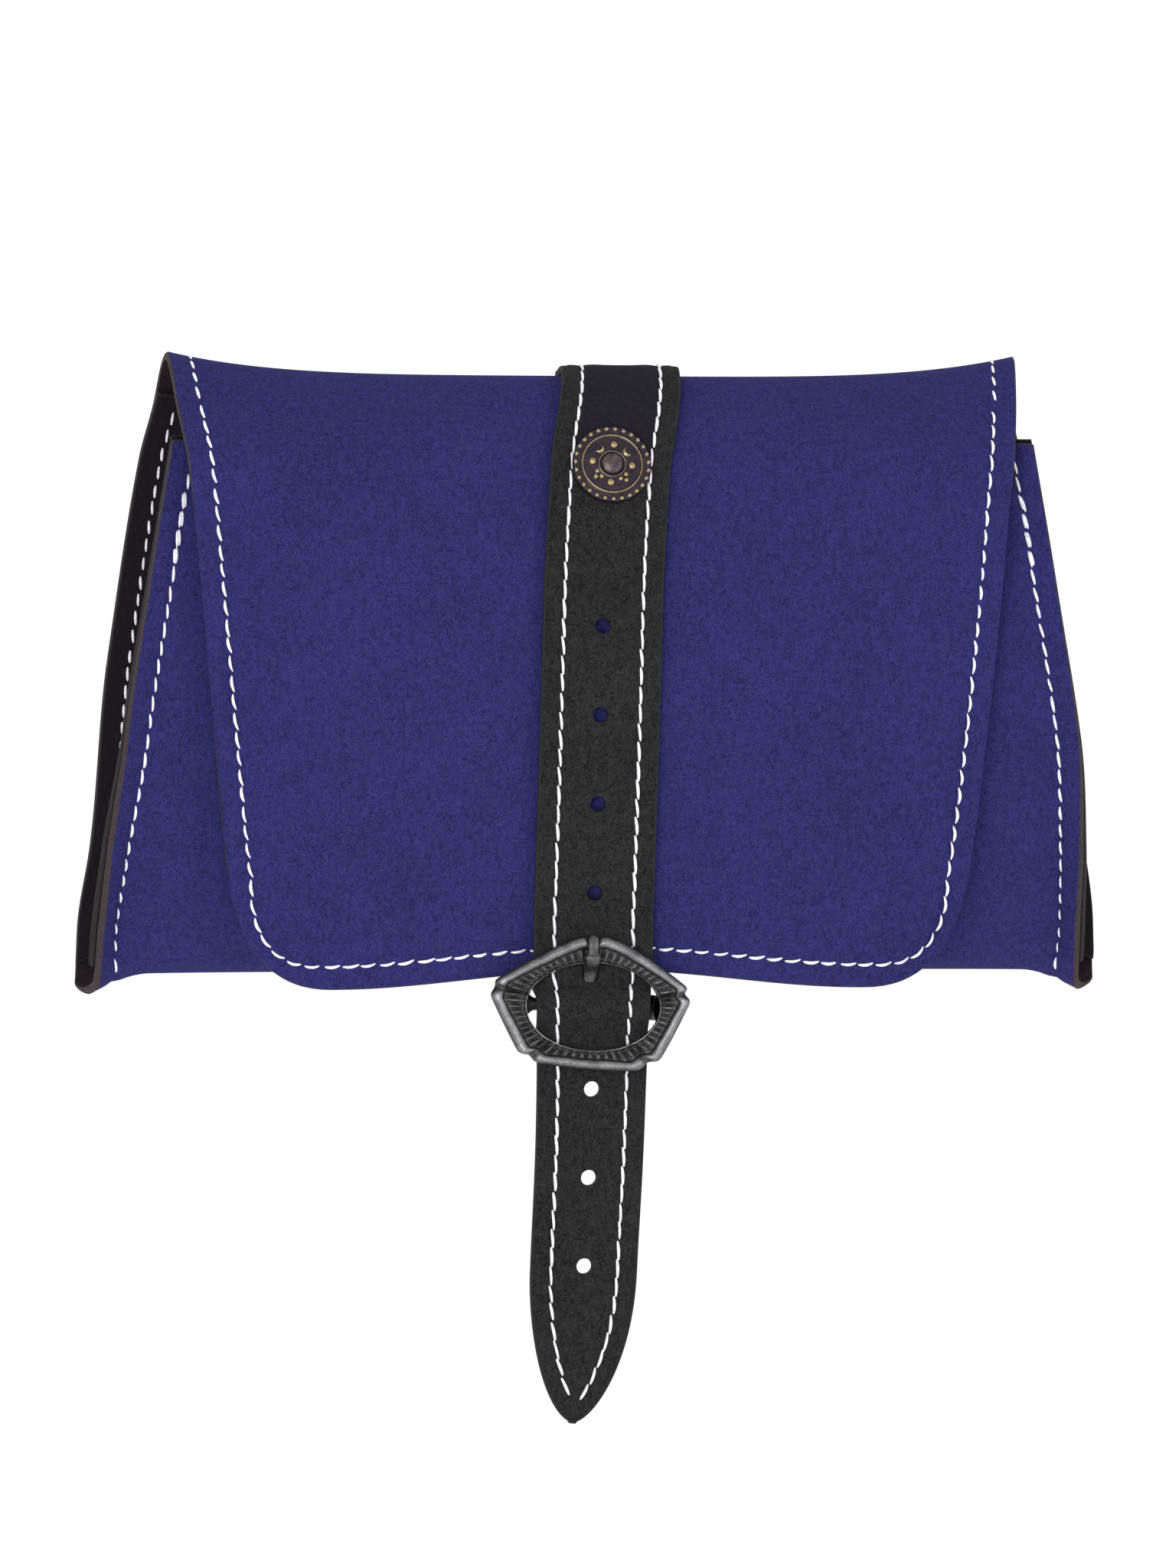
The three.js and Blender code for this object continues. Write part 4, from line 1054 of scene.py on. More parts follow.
def make_chape():
    """The chape round the buckle's bar, and its seams."""
    course, path = paths()
    bag = course.bag
    metal = path.metal
    thickness = metal.chape
    on_back = -bag.gap - thickness / 2
    skew = math.sin(metal.tilt) * metal.chape_width / 2
    below = bag.thickness / 2 + bag.gap + thickness / 2 + skew
    loop = metal.bar_radius + bag.gap + thickness / 2
    lap = thickness + bag.gap * 1.5
    bottom_depth = float(course.mid_depth(course.stations[BOTTOM_ROW]))
    bottom = float(course.mid_height(course.stations[BOTTOM_ROW])) - below
    front = float(course.mid_depth(course.stations[BOTTOM_ROW - 1]))
    level = lambda q: mix(bottom, loop - metal.drop, q)
    rise = metal.chape_rise
    points = [
        (on_back, rise), (on_back, rise * 0.65), (on_back, rise * 0.35),
        (mix(on_back, bottom_depth, 0.1), bottom + below * 3),
        (mix(on_back, bottom_depth, 0.42), bottom + below * 0.35), (bottom_depth, bottom),
        (front + below, level(0.35)), (mix(front, path.bar_depth, 0.72), level(0.85)),
    ]
    for angle in np.radians([90, 60, 30, 0, -30, -60, -90, -110]):
        points.append((path.bar_depth + loop * math.cos(angle), loop * math.sin(angle) - metal.drop))
    points += [(mix(front, path.bar_depth, 0.62), level(0.85) - lap * 1.15),
               (front + below, level(0.35) - lap * 1.05), (mix(bottom_depth, front, 0.6), bottom - lap)]
    line = Line(catmull([course.place(path.bar_x, d, z) for d, z in points]))
    across = np.array([math.cos(metal.tilt), 0, -math.sin(metal.tilt)])
    s = np.linspace(0, line.length, 170)
    v = np.sin(np.linspace(-1, 1, 21) * 1.35) / math.sin(1.35)
    half = metal.chape_width / 2
    grid = line.at(s)[:, None] + across * (v * half)[:, None]
    edge = np.broadcast_to((1 - np.abs(v)) * half, (len(s), len(v)))
    press, press_width, round_width = 0.00025, 0.0008, 0.0006
    groove = -press * (bump(edge - metal.chape_inset, press_width) + bump(edge, round_width))
    piece = sheet("pouch_buckle_chape", grid, thickness, [strap_suede(), strap_suede(), strap_edge()],
                  outer=groove, inner=groove)
    middle = course.place(path.bar_x, path.bar_depth, -metal.drop)
    slot_play = 0.0004
    slot = cylinder(middle, across, metal.bar_radius + 2 * bag.gap + thickness + slot_play,
                    metal.tongue_width + 2 * bag.gap, 32)
    cut(piece, [slot, tongue_piece(path, grow=bag.gap)])
    piece.data.set_sharp_from_angle(angle=math.radians(55))
    dress(piece, "strap_suede", "buckle_chape")
    s = np.linspace(0.0025, rise * 0.86, 120)
    along = line.tangent(s)
    normal = unit(np.cross(along, across))
    normal = np.where(normal[:, 1:2] < 0, -normal, normal)
    thread = settings().pouch_thread
    sunk = -0.0002
    for side, hand in ((-1, "left"), (1, "right")):
        spots = line.at(s) + across * side * (half - metal.chape_inset) + normal * thickness / 2
        stitches(f"seam_chape_{hand}", spots, normal, thread, sunk, 81 + side)
    v = np.linspace(-1, 1, 60)[:, None]
    spot = line.at(0.0028) + across * v * (half - metal.chape_inset)
    spot = spot + normal[0] * thickness / 2
    stitches("seam_chape_top", spot, np.broadcast_to(normal[0], spot.shape), thread, sunk, 85)


def cylinder(centre, axis, radius, height, sides):
    """Plain cylinder used to punch a hole, whose walls get the edge material."""
    turn = Vector((0, 0, 1)).rotation_difference(Vector(axis)).to_matrix()
    angle = np.linspace(0, 2 * np.pi, sides, endpoint=False)
    ring = np.stack([np.cos(angle) * radius, np.sin(angle) * radius, np.zeros(sides)], axis=-1)
    ends = np.concatenate([ring + (0, 0, -height / 2), ring + (0, 0, height / 2)])
    verts = ends @ np.array(turn).T + np.array(centre)
    near = list(range(sides))
    quads = [(i, (i + 1) % sides, sides + (i + 1) % sides, sides + i) for i in near]
    faces = quads + [near[::-1], [sides + i for i in near]]
    return build("punch", verts, faces, [], np.full(len(faces), EDGE_SLOT), smooth_faces=False)


def cut(piece, cutters):
    """Takes the cutters out of the piece and deletes them."""
    for cutter in cutters:
        modifier = piece.modifiers.new("cut", "BOOLEAN")
        modifier.operation = "DIFFERENCE"
        modifier.solver = "EXACT"
        modifier.object = cutter
    depsgraph = bpy.context.evaluated_depsgraph_get()
    mesh = bpy.data.meshes.new_from_object(piece.evaluated_get(depsgraph))
    piece.modifiers.clear()
    piece.data = mesh
    for cutter in cutters:
        bpy.data.objects.remove(cutter)


def turned(path, points):
    """Points turned by the buckle's tilt about the middle of its bar."""
    middle = path.course.place(path.bar_x, path.bar_depth, -path.metal.drop)
    turn = np.array(Matrix.Rotation(path.metal.tilt, 3, "Y"))
    return (points - middle) @ turn.T + middle


def tongue_piece(path, grow=0.0):
    """The finger of the tongue, from the bar through the strap to its seat in the rim."""
    metal = path.metal
    ring = metal.bar_radius + path.course.bag.gap + metal.chape
    rest = path.frame_front - metal.tongue_notch + metal.tongue_thickness / 2
    top = metal.buckle_height * 0.503
    z = lambda rise: rise - metal.drop
    # Depth and height, from the loop on the bar up through the strap to the rim
    points = [
        (path.bar_depth + ring * 0.42, z(ring * 0.66)),
        (path.bar_depth + ring * 0.98, z(metal.opening_height * 0.325)),
        (mix(path.bar_depth, rest, 0.64), z(metal.opening_height * 0.435)),
        (rest - 0.0002, z(metal.opening_height * 0.535)),
        (rest, z(top * 0.8)),
        (rest, z(top * 0.95)),
        (rest - 0.0011, z(top * 1.06 + grow)),
    ]
    line = Line(catmull([path.course.place(path.bar_x, d, h) for d, h in points]))
    rows = 64
    sides = 20
    q = np.linspace(0, 1, rows)
    spot = line.at(q * line.length)
    tangent = line.tangent(q * line.length)
    out = unit(np.cross(tangent, np.array([1.0, 0, 0])))
    out = np.where(out[:, 1:2] > 0, -out, out)
    # The finger has a collar, is slimmer beyond it and rounds off at its end. Grown to cut its way
    # through leather, it has no collar and keeps its width.
    tip, collar_at, collar_end = 0.93, 0.685, 0.70
    rounded = np.sqrt(np.clip(1 - np.clip((q - tip) / 0.075, 0, 1) ** 2, 0.05, 1))
    beyond = np.clip((q - collar_end) / 0.03, 0, 1)
    collar = 0.12 * bump(q - collar_at, 0.028) * (grow == 0)
    wide_share = (1 - 0.26 * beyond * (grow == 0) + collar) * rounded
    thick_share = (1 + collar * 1.6 - 0.18 * beyond) * mix(1, rounded, 0.6)
    angle = np.linspace(0, 2 * np.pi, sides, endpoint=False)
    wide = np.sign(np.cos(angle)) * np.abs(np.cos(angle)) ** 0.75 * (metal.tongue_width / 2 + grow)
    thick = np.sign(np.sin(angle)) * np.abs(np.sin(angle)) ** 0.85 * (metal.tongue_thickness / 2 + grow)
    verts = (spot[:, None] + np.array([1.0, 0, 0]) * (wide[None, :] * wide_share[:, None])[..., None]
             + out[:, None] * (thick[None, :] * thick_share[:, None])[..., None])
    verts = turned(path, verts.reshape(-1, 3))
    grid = np.arange(rows * sides).reshape(rows, sides)
    nxt = np.roll(grid, -1, axis=1)
    faces = np.stack([grid[:-1], grid[1:], nxt[1:], nxt[:-1]], axis=-1).reshape(-1, 4).tolist()
    faces += [grid[0].tolist(), grid[-1][::-1].tolist()]
    indices = np.full(len(faces), EDGE_SLOT if grow > 0 else 0)
    return build("pouch_buckle_tongue", verts, faces, [], indices)


def rounded_loop(values, spread):
    """Closed row of values, each mixed with its neighbours over a number of steps."""
    reach = np.arange(-3 * spread, 3 * spread + 1)
    weights = np.exp(-0.5 * (reach / spread) ** 2)
    weights = weights / weights.sum()
    return sum(weight * np.roll(values, step, axis=0) for step, weight in zip(reach, weights))


def petal_outline(scale):
    """Outer edge of the buckle, clockwise from the top, and how far each point is from a nick."""
    corners = []
    for petal, following in zip(PETALS, PETALS[1:] + PETALS[:1]):
        start, middle, end, nick = (np.array(p) for p in petal)
        control = 2 * middle - (start + end) / 2
        q = np.linspace(0, 1, 60)[:, None]
        corners.append(start * (1 - q) ** 2 + control * 2 * q * (1 - q) + end * q ** 2)
        corners.append(mix(end, nick, np.linspace(0, 1, 8)[1:, None]))
        corners.append(mix(nick, np.array(following.start), np.linspace(0, 1, 8)[1:-1, None]))
    loop = Line(np.concatenate([*corners, corners[0][:1]]) * scale)
    outline = loop.at(np.linspace(0, loop.length, 620, endpoint=False))
    nicks = np.array([petal.nick for petal in PETALS]) * scale
    away = np.min(np.linalg.norm(outline[:, None] - nicks, axis=-1), axis=1)
    return rounded_loop(outline, 4), away


def make_buckle():
    """The cast frame with its bar, and the tongue."""
    course, path = paths()
    metal = path.metal
    scale = np.array([metal.buckle_width / 2, metal.buckle_height / PETAL_SPAN])
    outline, away = petal_outline(scale)
    shift = np.array([metal.opening_offset, -metal.opening_shift])
    size = np.array([metal.opening_width, metal.opening_height]) / 2
    direction = unit((outline - shift) / size)
    opening = direction * size + shift
    angle = np.unwrap(np.arctan2(direction[:, 1], direction[:, 0]))
    width = np.linalg.norm(outline - opening, axis=1)
    roll = np.minimum(metal.roll_width / width, 0.56)[:, None]
    # From the opening outwards: place of each ring of points on the ribbed field as a share of its
    # width, and its height as a share of the frame's thickness. The rolled rim follows.
    field = np.array([0.05, 0, 0, 0.02, 0.055, 0.09, 0.13, 0.18, 0.26, 0.36, 0.46, 0.56, 0.66, 0.76,
                      0.86, 0.94, 1])
    field_level = np.array([0, 0.12, 0.46, 0.6, 0.66, 0.62, 0.5, 0.43, 0.42, 0.44, 0.46, 0.48, 0.50,
                            0.52, 0.54, 0.57, 0.62])
    swell = np.linspace(0, np.pi, 17)[1:]
    rim = (1 - np.cos(swell)) / 2
    rim_level = 0.62 + 0.40 * np.sin(swell) ** 0.8 - 0.30 * np.clip(rim - 0.5, 0, 1)
    under = np.array([0.99, 0.93])
    across = np.concatenate([
        np.broadcast_to(field, (len(width), len(field))) * (1 - roll),
        1 - roll + rim * roll,
        np.broadcast_to(1 - roll * (1 - under), (len(width), 2))], axis=1)
    level = np.concatenate([field_level, rim_level, [0.12, 0]])
    on_field = np.concatenate([bump(field - 0.55, 0.3) * (field > 0.15), np.zeros(len(rim) + 2)])
    on_top = level > 0.35
    ribs = np.sin(angle * metal.ribs / 2 + 0.6 * np.sin(angle * 5))
    ribs = ribs + 0.35 * np.sin(angle * metal.ribs * 1.7)
    # Ribs are deeper near the nicks and along the bottom
    strength = 0.085 + 0.05 * bump(away, 0.006) + 0.03 * (outline[:, 1] < -0.006)
    height = level[None, :] + (ribs * strength)[:, None] * on_field[None, :]
    crease_width, flare_away, flare_width = 0.0011, 0.0028, 0.0018
    crease = bump(away, crease_width)[:, None]
    flare = bump(away - flare_away, flare_width)[:, None]
    outward = np.clip(across, 0, 1) ** 1.5
    flare_rise, crease_depth, seat_depth = 0.10, 0.34, 0.30
    height = height + on_top * outward * (flare_rise * flare - crease_depth * crease)
    seat = (bump(outline[:, 0] - 0.0001, 0.0021) * (outline[:, 1] > 0))[:, None]
    height = height - seat_depth * seat * on_top * (across > 0.4)
    spot = opening[:, None] + (outline - opening)[:, None] * across[..., None]
    depth = path.frame_back + height * metal.frame_thickness
    verts = course.place(path.bar_x + spot[..., 0], depth, spot[..., 1] - metal.drop)
    # The bead along the opening's lip is rubbed bright, and painted highlight makes it brighter towards
    # the bottom of the opening.
    lower = np.clip(-outline[:, 1] / 0.008, 0, 1)[:, None]
    bead_wear_and_highlight = bump(field - 0.055, 0.05)[None, :] * mix(0.35, 1, lower)
    relief = np.zeros(height.shape)
    field_tone, bead_wear_and_highlight_tone, rib_shine = 0.27, 0.9, 0.3
    rim_tone, rim_shine = 0.36, 0.34
    worn_ribs = np.clip(ribs, -0.7, 1)[:, None] * on_field[:len(field)]
    relief[:, :len(field)] = field_tone + bead_wear_and_highlight_tone * bead_wear_and_highlight + rib_shine * worn_ribs
    relief[:, len(field):-2] = rim_tone + rim_shine * np.sin(swell) ** 2
    relief = relief - 0.3 * crease - 0.25 * seat + 0.12 * flare * outward
    verts = turned(path, verts.reshape(-1, 3))
    piece = relief_mesh("pouch_buckle_frame", verts, len(outline), len(level), [buckle_metal()],
                        closed_rows=True, relief=relief)
    dress(piece, "buckle_metal", "buckle_frame")
    dress(bar_piece(path), "buckle_metal", "buckle_frame")
    finger = tongue_piece(path)
    finger.data.materials.append(buckle_metal())
    attribute(finger, "relief", np.full(len(finger.data.vertices), 0.5))
    dress(finger, "buckle_metal", "buckle_tongue")
    dress(tongue_ring(path), "buckle_metal", "buckle_tongue")


def bar_piece(path):
    """The bar behind the strap with its two flattened legs, as one bent rod."""
    metal = path.metal
    reach = path.strap.width / 2 + metal.leg_slack + metal.leg_width / 2
    back = path.bar_depth
    front = path.frame_back + metal.frame_thickness * 0.25
    right = [(0, back), (reach * 0.5, back), (reach - 0.0016, back), (reach, mix(back, front, 0.25)),
             (reach, mix(back, front, 0.6)), (reach + 0.0002, front)]
    points = [(-x, d) for x, d in right[:0:-1]] + right
    line = Line(catmull([path.course.place(path.bar_x + x, d, -metal.drop) for x, d in points],
                        per_piece=10))
    rows = 110
    sides = 18
    s = np.linspace(0, line.length, rows)
    tangent = line.tangent(s)
    up = np.array([0, 0, 1.0])
    side = unit(np.cross(tangent, up))
    q = np.clip((np.abs(np.linspace(-1, 1, rows)) - 0.58) / 0.12, 0, 1)
    q = q * q * (3 - 2 * q)
    angle = np.linspace(0, 2 * np.pi, sides, endpoint=False)
    flat = metal.bar_radius * mix(1, 0.8, q)
    tall = metal.bar_radius * mix(1, 2.0, q)
    verts = (line.at(s)[:, None] + side[:, None] * (flat[:, None] * np.cos(angle))[..., None]
             + up * (tall[:, None] * np.sin(angle))[..., None])
    verts = turned(path, verts.reshape(-1, 3))
    relief = np.full(rows * sides, 0.2)
    return relief_mesh("pouch_buckle_bar", verts, rows, sides, [buckle_metal()], relief=relief)


def tongue_ring(path):
    """Loop of the tongue round the bar."""
    metal = path.metal
    middle = path.course.place(path.bar_x, path.bar_depth, -metal.drop)
    inner = metal.bar_radius + path.course.bag.gap
    angle = np.linspace(0, 2 * np.pi, 40, endpoint=False)
    around = np.linspace(0, 2 * np.pi, 12, endpoint=False)
    radius = inner + metal.chape / 2 + metal.chape / 2 * np.cos(around) * 0.95
    x = metal.tongue_width / 2 * np.sin(around) * 0.95
    ring = np.stack([np.zeros(40), np.cos(angle), np.sin(angle)], axis=-1)
    verts = middle + ring[:, None] * radius[None, :, None] + np.array([1.0, 0, 0]) * x[None, :, None]
    verts = turned(path, verts.reshape(-1, 3))
    return relief_mesh("pouch_tongue_loop", verts, 40, 12, [buckle_metal()], closed_rows=True,
                       relief=np.full(480, 0.3))


def concho_relief(x, y, metal):
    """Height of the concho's raised motif over its field."""
    radius = metal.concho / 2
    r = np.hypot(x, y) / radius
    angle = np.arctan2(x, y)
    turn = 2 * np.pi / metal.beads
    off = (angle + turn / 2) % turn - turn / 2

    def dome(distance, size, rise):
        return rise * np.sqrt(np.clip(1 - (distance / size) ** 2, 0, 1))

    def away(bearing, reach):
        return np.hypot(x / radius - reach * math.sin(bearing), y / radius - reach * math.cos(bearing))

    # Beads of the rim, the ring inside them, the middle dome and its collar. Then four bosses, two
    # crescents and two trefoils. Sizes and distances are shares of the radius, rises are in metres.
    bead_at, ring_at, collar_at = 0.93, 0.755, 0.335
    heights = [
        dome(np.hypot(r - bead_at, off * bead_at), 0.062, 0.00055),
        0.00045 * bump(r - ring_at, 0.026),
        dome(r, 0.28, 0.0013),
        0.00022 * bump(r - collar_at, 0.03),
    ]
    for quarter in range(4):
        heights.append(dome(away(quarter * math.pi / 2, 0.5), 0.098, 0.0008))
    for bearing in (math.radians(45), math.radians(-45)):
        moon = dome(away(bearing, 0.5), 0.13, 0.0006) * (away(bearing, 0.57) > 0.115)
        heights.append(moon)
    for bearing in (math.radians(135), math.radians(-135)):
        for part, reach in ((0, 0.55), (0.2, 0.44), (-0.2, 0.44)):
            heights.append(dome(away(bearing + part, reach), 0.068, 0.00055))
    return np.max(heights, axis=0)


def make_concho():
    """The cast concho, and the finish of the CAD rivet cap behind it."""
    course, path = paths()
    metal = path.metal
    height = course.bag.height - metal.concho_drop
    point, across, normal = path.frame(np.array(path.station(height)))
    up = np.cross(normal, across)
    up = up if up[2] > 0 else -up
    rings = 96
    spokes = metal.beads * 14
    share = np.linspace(0.004, 1, rings)
    angle = np.linspace(0, 2 * np.pi, spokes, endpoint=False)
    x = share[:, None] * np.sin(angle) * metal.concho / 2
    y = share[:, None] * np.cos(angle) * metal.concho / 2
    raised = concho_relief(x, y, metal)
    crown, edge_fall, edge_share = 0.00045, 0.0008, 0.955
    dish = crown * (1 - share[:, None] ** 2)
    rim = -edge_fall * np.clip((share[:, None] - edge_share) / (1 - edge_share), 0, 1) ** 2
    base = path.strap.thickness / 2 + course.bag.gap
    level = base + metal.concho_thickness + raised + dish + rim
    low = np.full(spokes, base)
    x = np.vstack([x, x[-1], x[-1] * 0.94, x[-1] * 0.1])
    y = np.vstack([y, y[-1], y[-1] * 0.94, y[-1] * 0.1])
    level = np.vstack([level, low + 0.0003, low, low])
    verts = point + across * x[..., None] + up * y[..., None] + normal * level[..., None]
    dome_radius, full_rise = 0.0031, 0.0005
    dark_dome = 0.5 * (np.hypot(x[:rings], y[:rings]) < dome_radius)
    relief = 0.3 + 0.7 * np.clip(raised / full_rise, 0, 1) - dark_dome
    relief = np.vstack([relief, np.full((3, spokes), 0.3)])
    foot = bump(raised / 0.0001 - 0.6, 0.5) * 0.35
    relief[:rings] -= foot
    piece = relief_mesh("pouch_concho", verts[::-1], rings + 3, spokes, [concho_metal()],
                        relief=relief[::-1])
    dress(piece, "concho_brass", "concho")
    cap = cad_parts["rivet_cap"]
    cap.data.materials.clear()
    cap.data.materials.append(concho_metal())


def make_seams():
    """The seams of the body, the gussets and the strap."""
    course, path = paths()
    bag = course.bag
    strap = path.strap
    thread = settings().pouch_thread
    sunk = -0.00022

    def on_sheet(name, s, c, face, base, offset=0.0, seed=1, bow=0.0):
        """A seam on one face of a sheet that lies offset inward from the body's."""
        normal = course.normal(s, np.sign(c) * np.minimum(np.abs(c), 1.5))
        rise = face * base / 2 - offset
        stitches(name, course.point(s, c) + normal * rise, normal * face, thread, sunk, seed, bow)

    places = flap_contour(course, bag.margin, 1200)
    s, c = course.on_flap(places[:, 0], places[:, 1])
    on_sheet("seam_flap", s, c, 1, bag.thickness, seed=11, bow=-0.8)
    depth = (bag.thickness + bag.gusset_thickness) / 2 + bag.gap
    flange_top = float(course.seam_station(np.array(bag.height - 0.006), BACK_LOW_ROW, RIDGE_ROW))
    for side, word in ((-1, "left"), (1, "right")):
        front = np.linspace(course.stations[0] + 0.002, course.stations[BOTTOM_ROW] - 0.006, 400)
        back = np.linspace(course.stations[BOTTOM_ROW] + 0.014, course.stations[RIDGE_ROW + 1], 500)
        columns = np.full(500, side * 1.02)
        on_sheet(f"seam_front_{word}", front, columns[:400], 1, bag.thickness, seed=21 + side)
        on_sheet(f"seam_front_tack_{word}", front[30:95], columns[:65] + side * 0.09, 1,
                 bag.thickness, seed=25 + side)
        on_sheet(f"seam_front_inside_{word}", front[:360], columns[:360] * 1.06, -1,
                 bag.gusset_thickness, depth, seed=31 + side)
        on_sheet(f"seam_back_{word}", back, columns, 1, bag.thickness, seed=41 + side)
        flange = np.linspace(course.stations[BACK_LOW_ROW + 1], flange_top, 400)
        on_sheet(f"seam_back_inside_{word}", flange, np.full(400, side * 1.08), -1,
                 bag.gusset_thickness, depth, seed=51 + side)
    under_start = path.station(-path.metal.buckle_height * 0.6)
    for face, word in ((1, "outer"), (-1, "under")):
        s = np.linspace(0.003 if face > 0 else under_start, path.line.length - 0.0055, 1500)
        point, across, normal = path.frame(s)
        lane = np.maximum(path.half(point[:, 2] + bag.belt_height) - strap.inset, 0.0003)
        for side, hand in ((-1, "left"), (1, "right")):
            spots = point + across * (side * lane)[:, None] + normal * (face * strap.thickness / 2)
            stitches(f"seam_strap_{word}_{hand}", spots, normal * face, thread, sunk, 61 + side, 0.3,
                     stretch=1.08)
    for reach, word in ((0.003, "low"), (strap.patch, "high")):
        point, across, normal = path.frame(np.array(reach))
        v = np.linspace(-1, 1, 80)[:, None] * (strap.width / 2 - strap.inset)
        spots = point + across * v + normal * strap.thickness / 2
        stitches(f"seam_patch_{word}", spots, np.broadcast_to(normal, spots.shape), thread, sunk, 71)


def make_stage():
    """The camera, the floor and the lights."""
    scene = settings()
    stage = scene.pouch_stage
    camera_data = bpy.data.cameras.new("camera")
    camera = bpy.data.objects.new("camera", camera_data)
    scene.collection.objects.link(camera)
    camera_data.sensor_width = 36
    camera_data.lens = camera_data.sensor_width * stage.distance / stage.span
    aim = Vector(stage.aim)
    offset = Vector((math.sin(stage.azimuth) * math.cos(stage.elevation),
                     -math.cos(stage.azimuth) * math.cos(stage.elevation), math.sin(stage.elevation)))
    camera.location = aim + offset * stage.distance
    look = (aim - camera.location).to_track_quat("-Z", "Y").to_matrix().to_4x4()
    roll = Matrix.Rotation(stage.roll, 4, "Z")
    camera.matrix_world = Matrix.Translation(camera.location) @ look @ roll
    scene.camera = camera

    low = cad_box[0][2] - stage.floor_gap
    angle = np.linspace(0, 2 * np.pi, 96, endpoint=False)
    ring = np.stack([np.cos(angle), np.sin(angle), np.zeros(96)], axis=-1) * stage.floor_radius
    floor = build("floor", ring + (0, 0, low), [list(range(96))], [floor_material()])

    light("key", (-0.7, -1.6, 0.0), 0.9, 15)
    light("fill", (1.3, -1.4, 0.2), 0.9, 7)
    make_world()
    scene.view_settings.view_transform = "Standard"


def make_world():
    """White studio, darker on the camera's side, so that the metal has something to mirror."""
    world = bpy.data.worlds.new("studio")
    world.use_nodes = True
    tree = world.node_tree
    direction = add(tree, "ShaderNodeTexCoord").outputs["Generated"]
    parts = add(tree, "ShaderNodeSeparateXYZ", {"Vector": direction})
    front = add(tree, "ShaderNodeMapRange",
                {"Value": parts.outputs["Y"], "From Min": -0.9, "From Max": 0.1,
                 "To Min": 0.72, "To Max": 1.15})
    tree.links.new(front.outputs[0], tree.nodes["Background"].inputs["Strength"])
    tree.nodes["Background"].inputs["Color"].default_value = (1, 1, 1, 1)
    settings().world = world


def floor_material():
    """Matt white studio floor."""
    material, tree, shader = start_material("floor_matt_white")
    if tree is None:
        return material
    place = add(tree, "ShaderNodeTexCoord").outputs["Object"]
    clouds = add(tree, "ShaderNodeTexNoise",
                 {"Vector": place, "Scale": per_metre(400), "Detail": 2, "Roughness": 0.5})
    toned = add(tree, "ShaderNodeValToRGB", {"Fac": clouds.outputs["Fac"]},
                ((0.3, shade("fcfcfc")), (0.7, shade("ffffff"))))
    tree.links.new(toned.outputs["Color"], shader.inputs["Base Color"])
    shader.inputs["Roughness"].default_value = 0.9
    return material


def light(name, place, size, power):
    """A round lamp that faces the pouch."""
    data = bpy.data.lights.new(name, "AREA")
    data.shape = "DISK"
    data.size = size
    data.energy = power
    lamp = bpy.data.objects.new(name, data)
    lamp.location = place
    pouch_middle = Vector((0, -0.03, -0.08))
    lamp.rotation_euler = (pouch_middle - Vector(place)).to_track_quat("-Z", "Y").to_euler()
    settings().collection.objects.link(lamp)


class POUCH_OT_stage(bpy.types.Operator):
    """Sets up the camera, the floor and the studio light"""
    bl_idname = "pouch.stage"
    bl_label = "Stage"

    def execute(self, context):
        make_stage()
        return {"FINISHED"}


class POUCH_OT_body(bpy.types.Operator):
    """Makes the suede body: front, bottom, back and flap in one sheet"""
    bl_idname = "pouch.body"
    bl_label = "Body"

    def execute(self, context):
        make_body()
        return {"FINISHED"}


class POUCH_OT_gussets(bpy.types.Operator):
    """Makes the two black gussets"""
    bl_idname = "pouch.gussets"
    bl_label = "Gussets"

    def execute(self, context):
        make_gussets()
        return {"FINISHED"}


class POUCH_OT_strap(bpy.types.Operator):
    """Makes the strap with its punched holes"""
    bl_idname = "pouch.strap"
    bl_label = "Strap"

    def execute(self, context):
        make_strap()
        return {"FINISHED"}


class POUCH_OT_chape(bpy.types.Operator):
    """Makes the chape that holds the buckle, and its seams"""
    bl_idname = "pouch.chape"
    bl_label = "Chape"

    def execute(self, context):
        make_chape()
        return {"FINISHED"}


class POUCH_OT_buckle(bpy.types.Operator):
    """Makes the cast buckle, its bar and its tongue"""
    bl_idname = "pouch.buckle"
    bl_label = "Buckle"

    def execute(self, context):
        make_buckle()
        return {"FINISHED"}


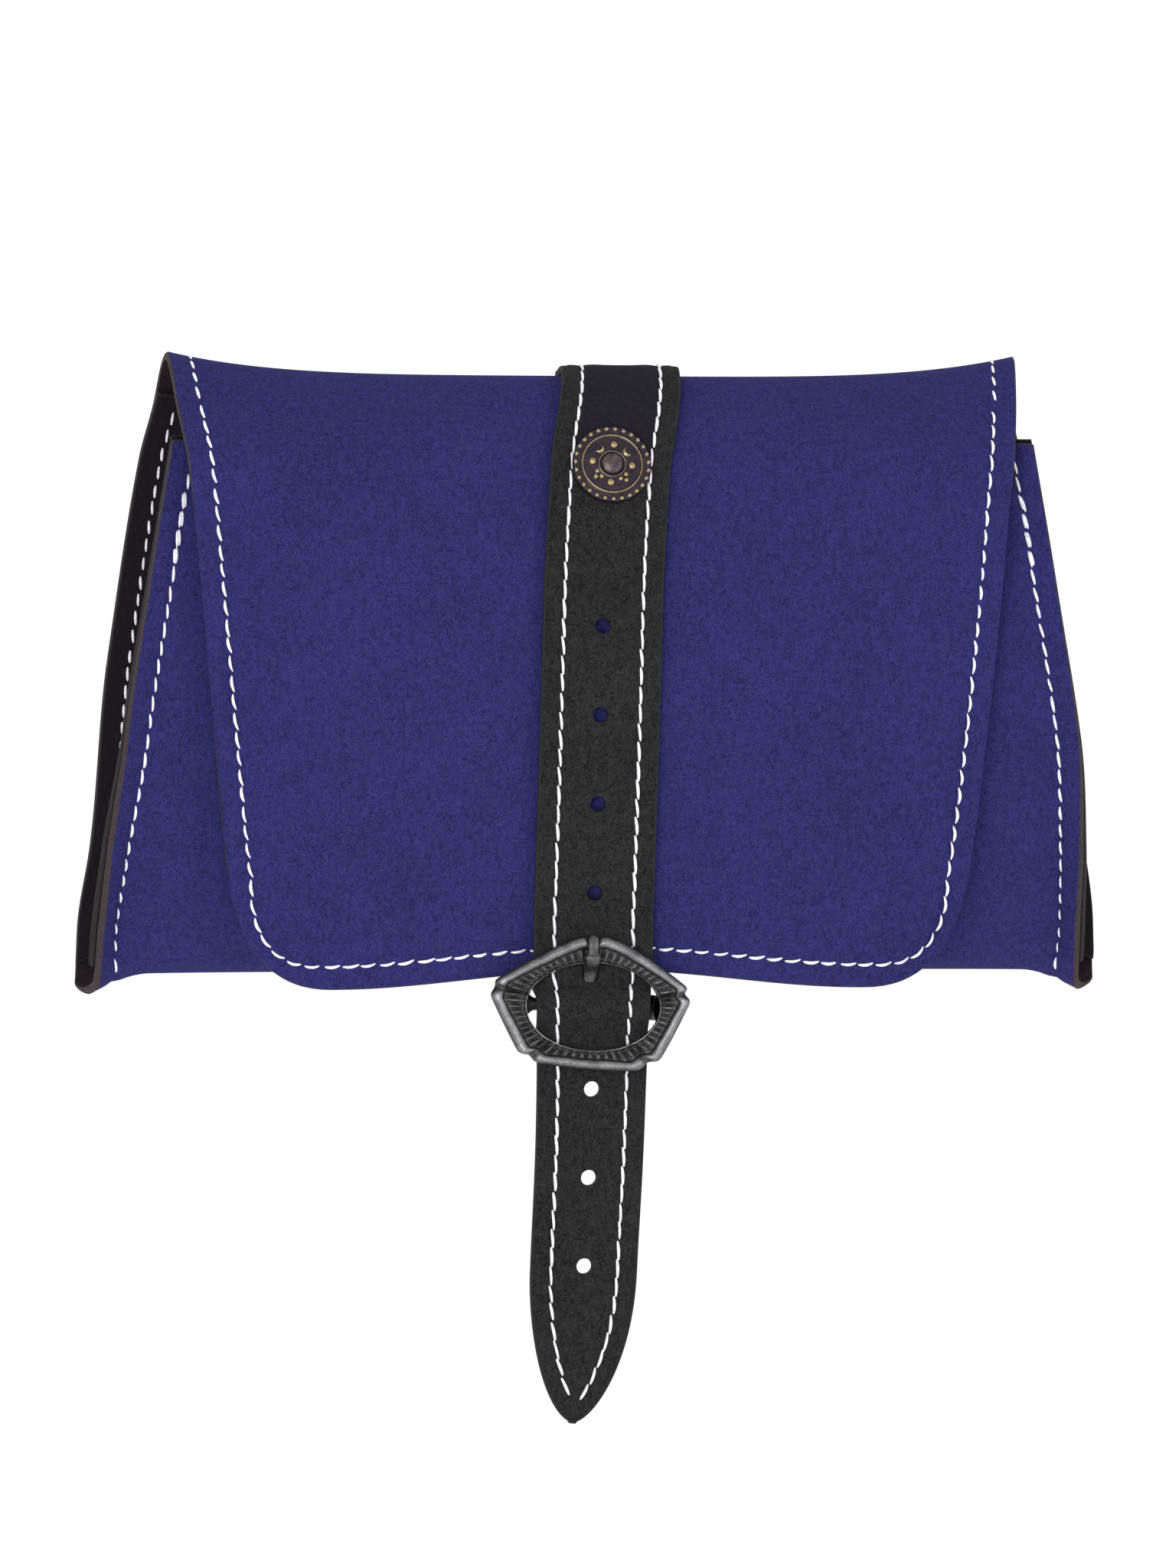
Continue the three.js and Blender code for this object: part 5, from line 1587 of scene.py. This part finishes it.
class POUCH_OT_concho(bpy.types.Operator):
    """Makes the cast concho on the strap"""
    bl_idname = "pouch.concho"
    bl_label = "Concho"

    def execute(self, context):
        make_concho()
        return {"FINISHED"}


class POUCH_OT_seams(bpy.types.Operator):
    """Sews all the seams with white thread"""
    bl_idname = "pouch.seams"
    bl_label = "Seams"

    def execute(self, context):
        make_seams()
        return {"FINISHED"}


class POUCH_PT_panel(bpy.types.Panel):
    """Sidebar panel of the belt pouch"""
    bl_idname = "POUCH_PT_panel"
    bl_label = "Belt pouch"
    bl_space_type = "VIEW_3D"
    bl_region_type = "UI"
    bl_category = "Pouch"

    def draw(self, context):
        layout = self.layout
        for name in STEPS:
            layout.operator(f"pouch.{name}")
        for group, _ in GROUPS:
            box = layout.box()
            settings_group = getattr(context.scene, group)
            for key in settings_group.__annotations__:
                box.prop(settings_group, key)


STEPS = ("stage", "body", "gussets", "strap", "chape", "buckle", "concho", "seams")
GROUPS = (("pouch_bag", PouchBag), ("pouch_strap", PouchStrap), ("pouch_metal", PouchMetal),
          ("pouch_thread", PouchThread), ("pouch_colours", PouchColours), ("pouch_stage", PouchStage))
CLASSES = (POUCH_OT_stage, POUCH_OT_body, POUCH_OT_gussets, POUCH_OT_strap, POUCH_OT_chape,
           POUCH_OT_buckle, POUCH_OT_concho, POUCH_OT_seams, POUCH_PT_panel)


def register():
    for name, group in GROUPS:
        bpy.utils.register_class(group)
        setattr(bpy.types.Scene, name, PointerProperty(type=group))
    for item in CLASSES:
        bpy.utils.register_class(item)


def unregister():
    for item in reversed(CLASSES):
        bpy.utils.unregister_class(item)
    for name, group in reversed(GROUPS):
        delattr(bpy.types.Scene, name)
        bpy.utils.unregister_class(group)


def main():
    register()
    bpy.ops.pouch.stage()
    bpy.ops.pouch.body()
    bpy.ops.pouch.gussets()
    bpy.ops.pouch.strap()
    bpy.ops.pouch.chape()
    bpy.ops.pouch.buckle()
    bpy.ops.pouch.concho()
    bpy.ops.pouch.seams()


if __name__ == "__main__":
    main()
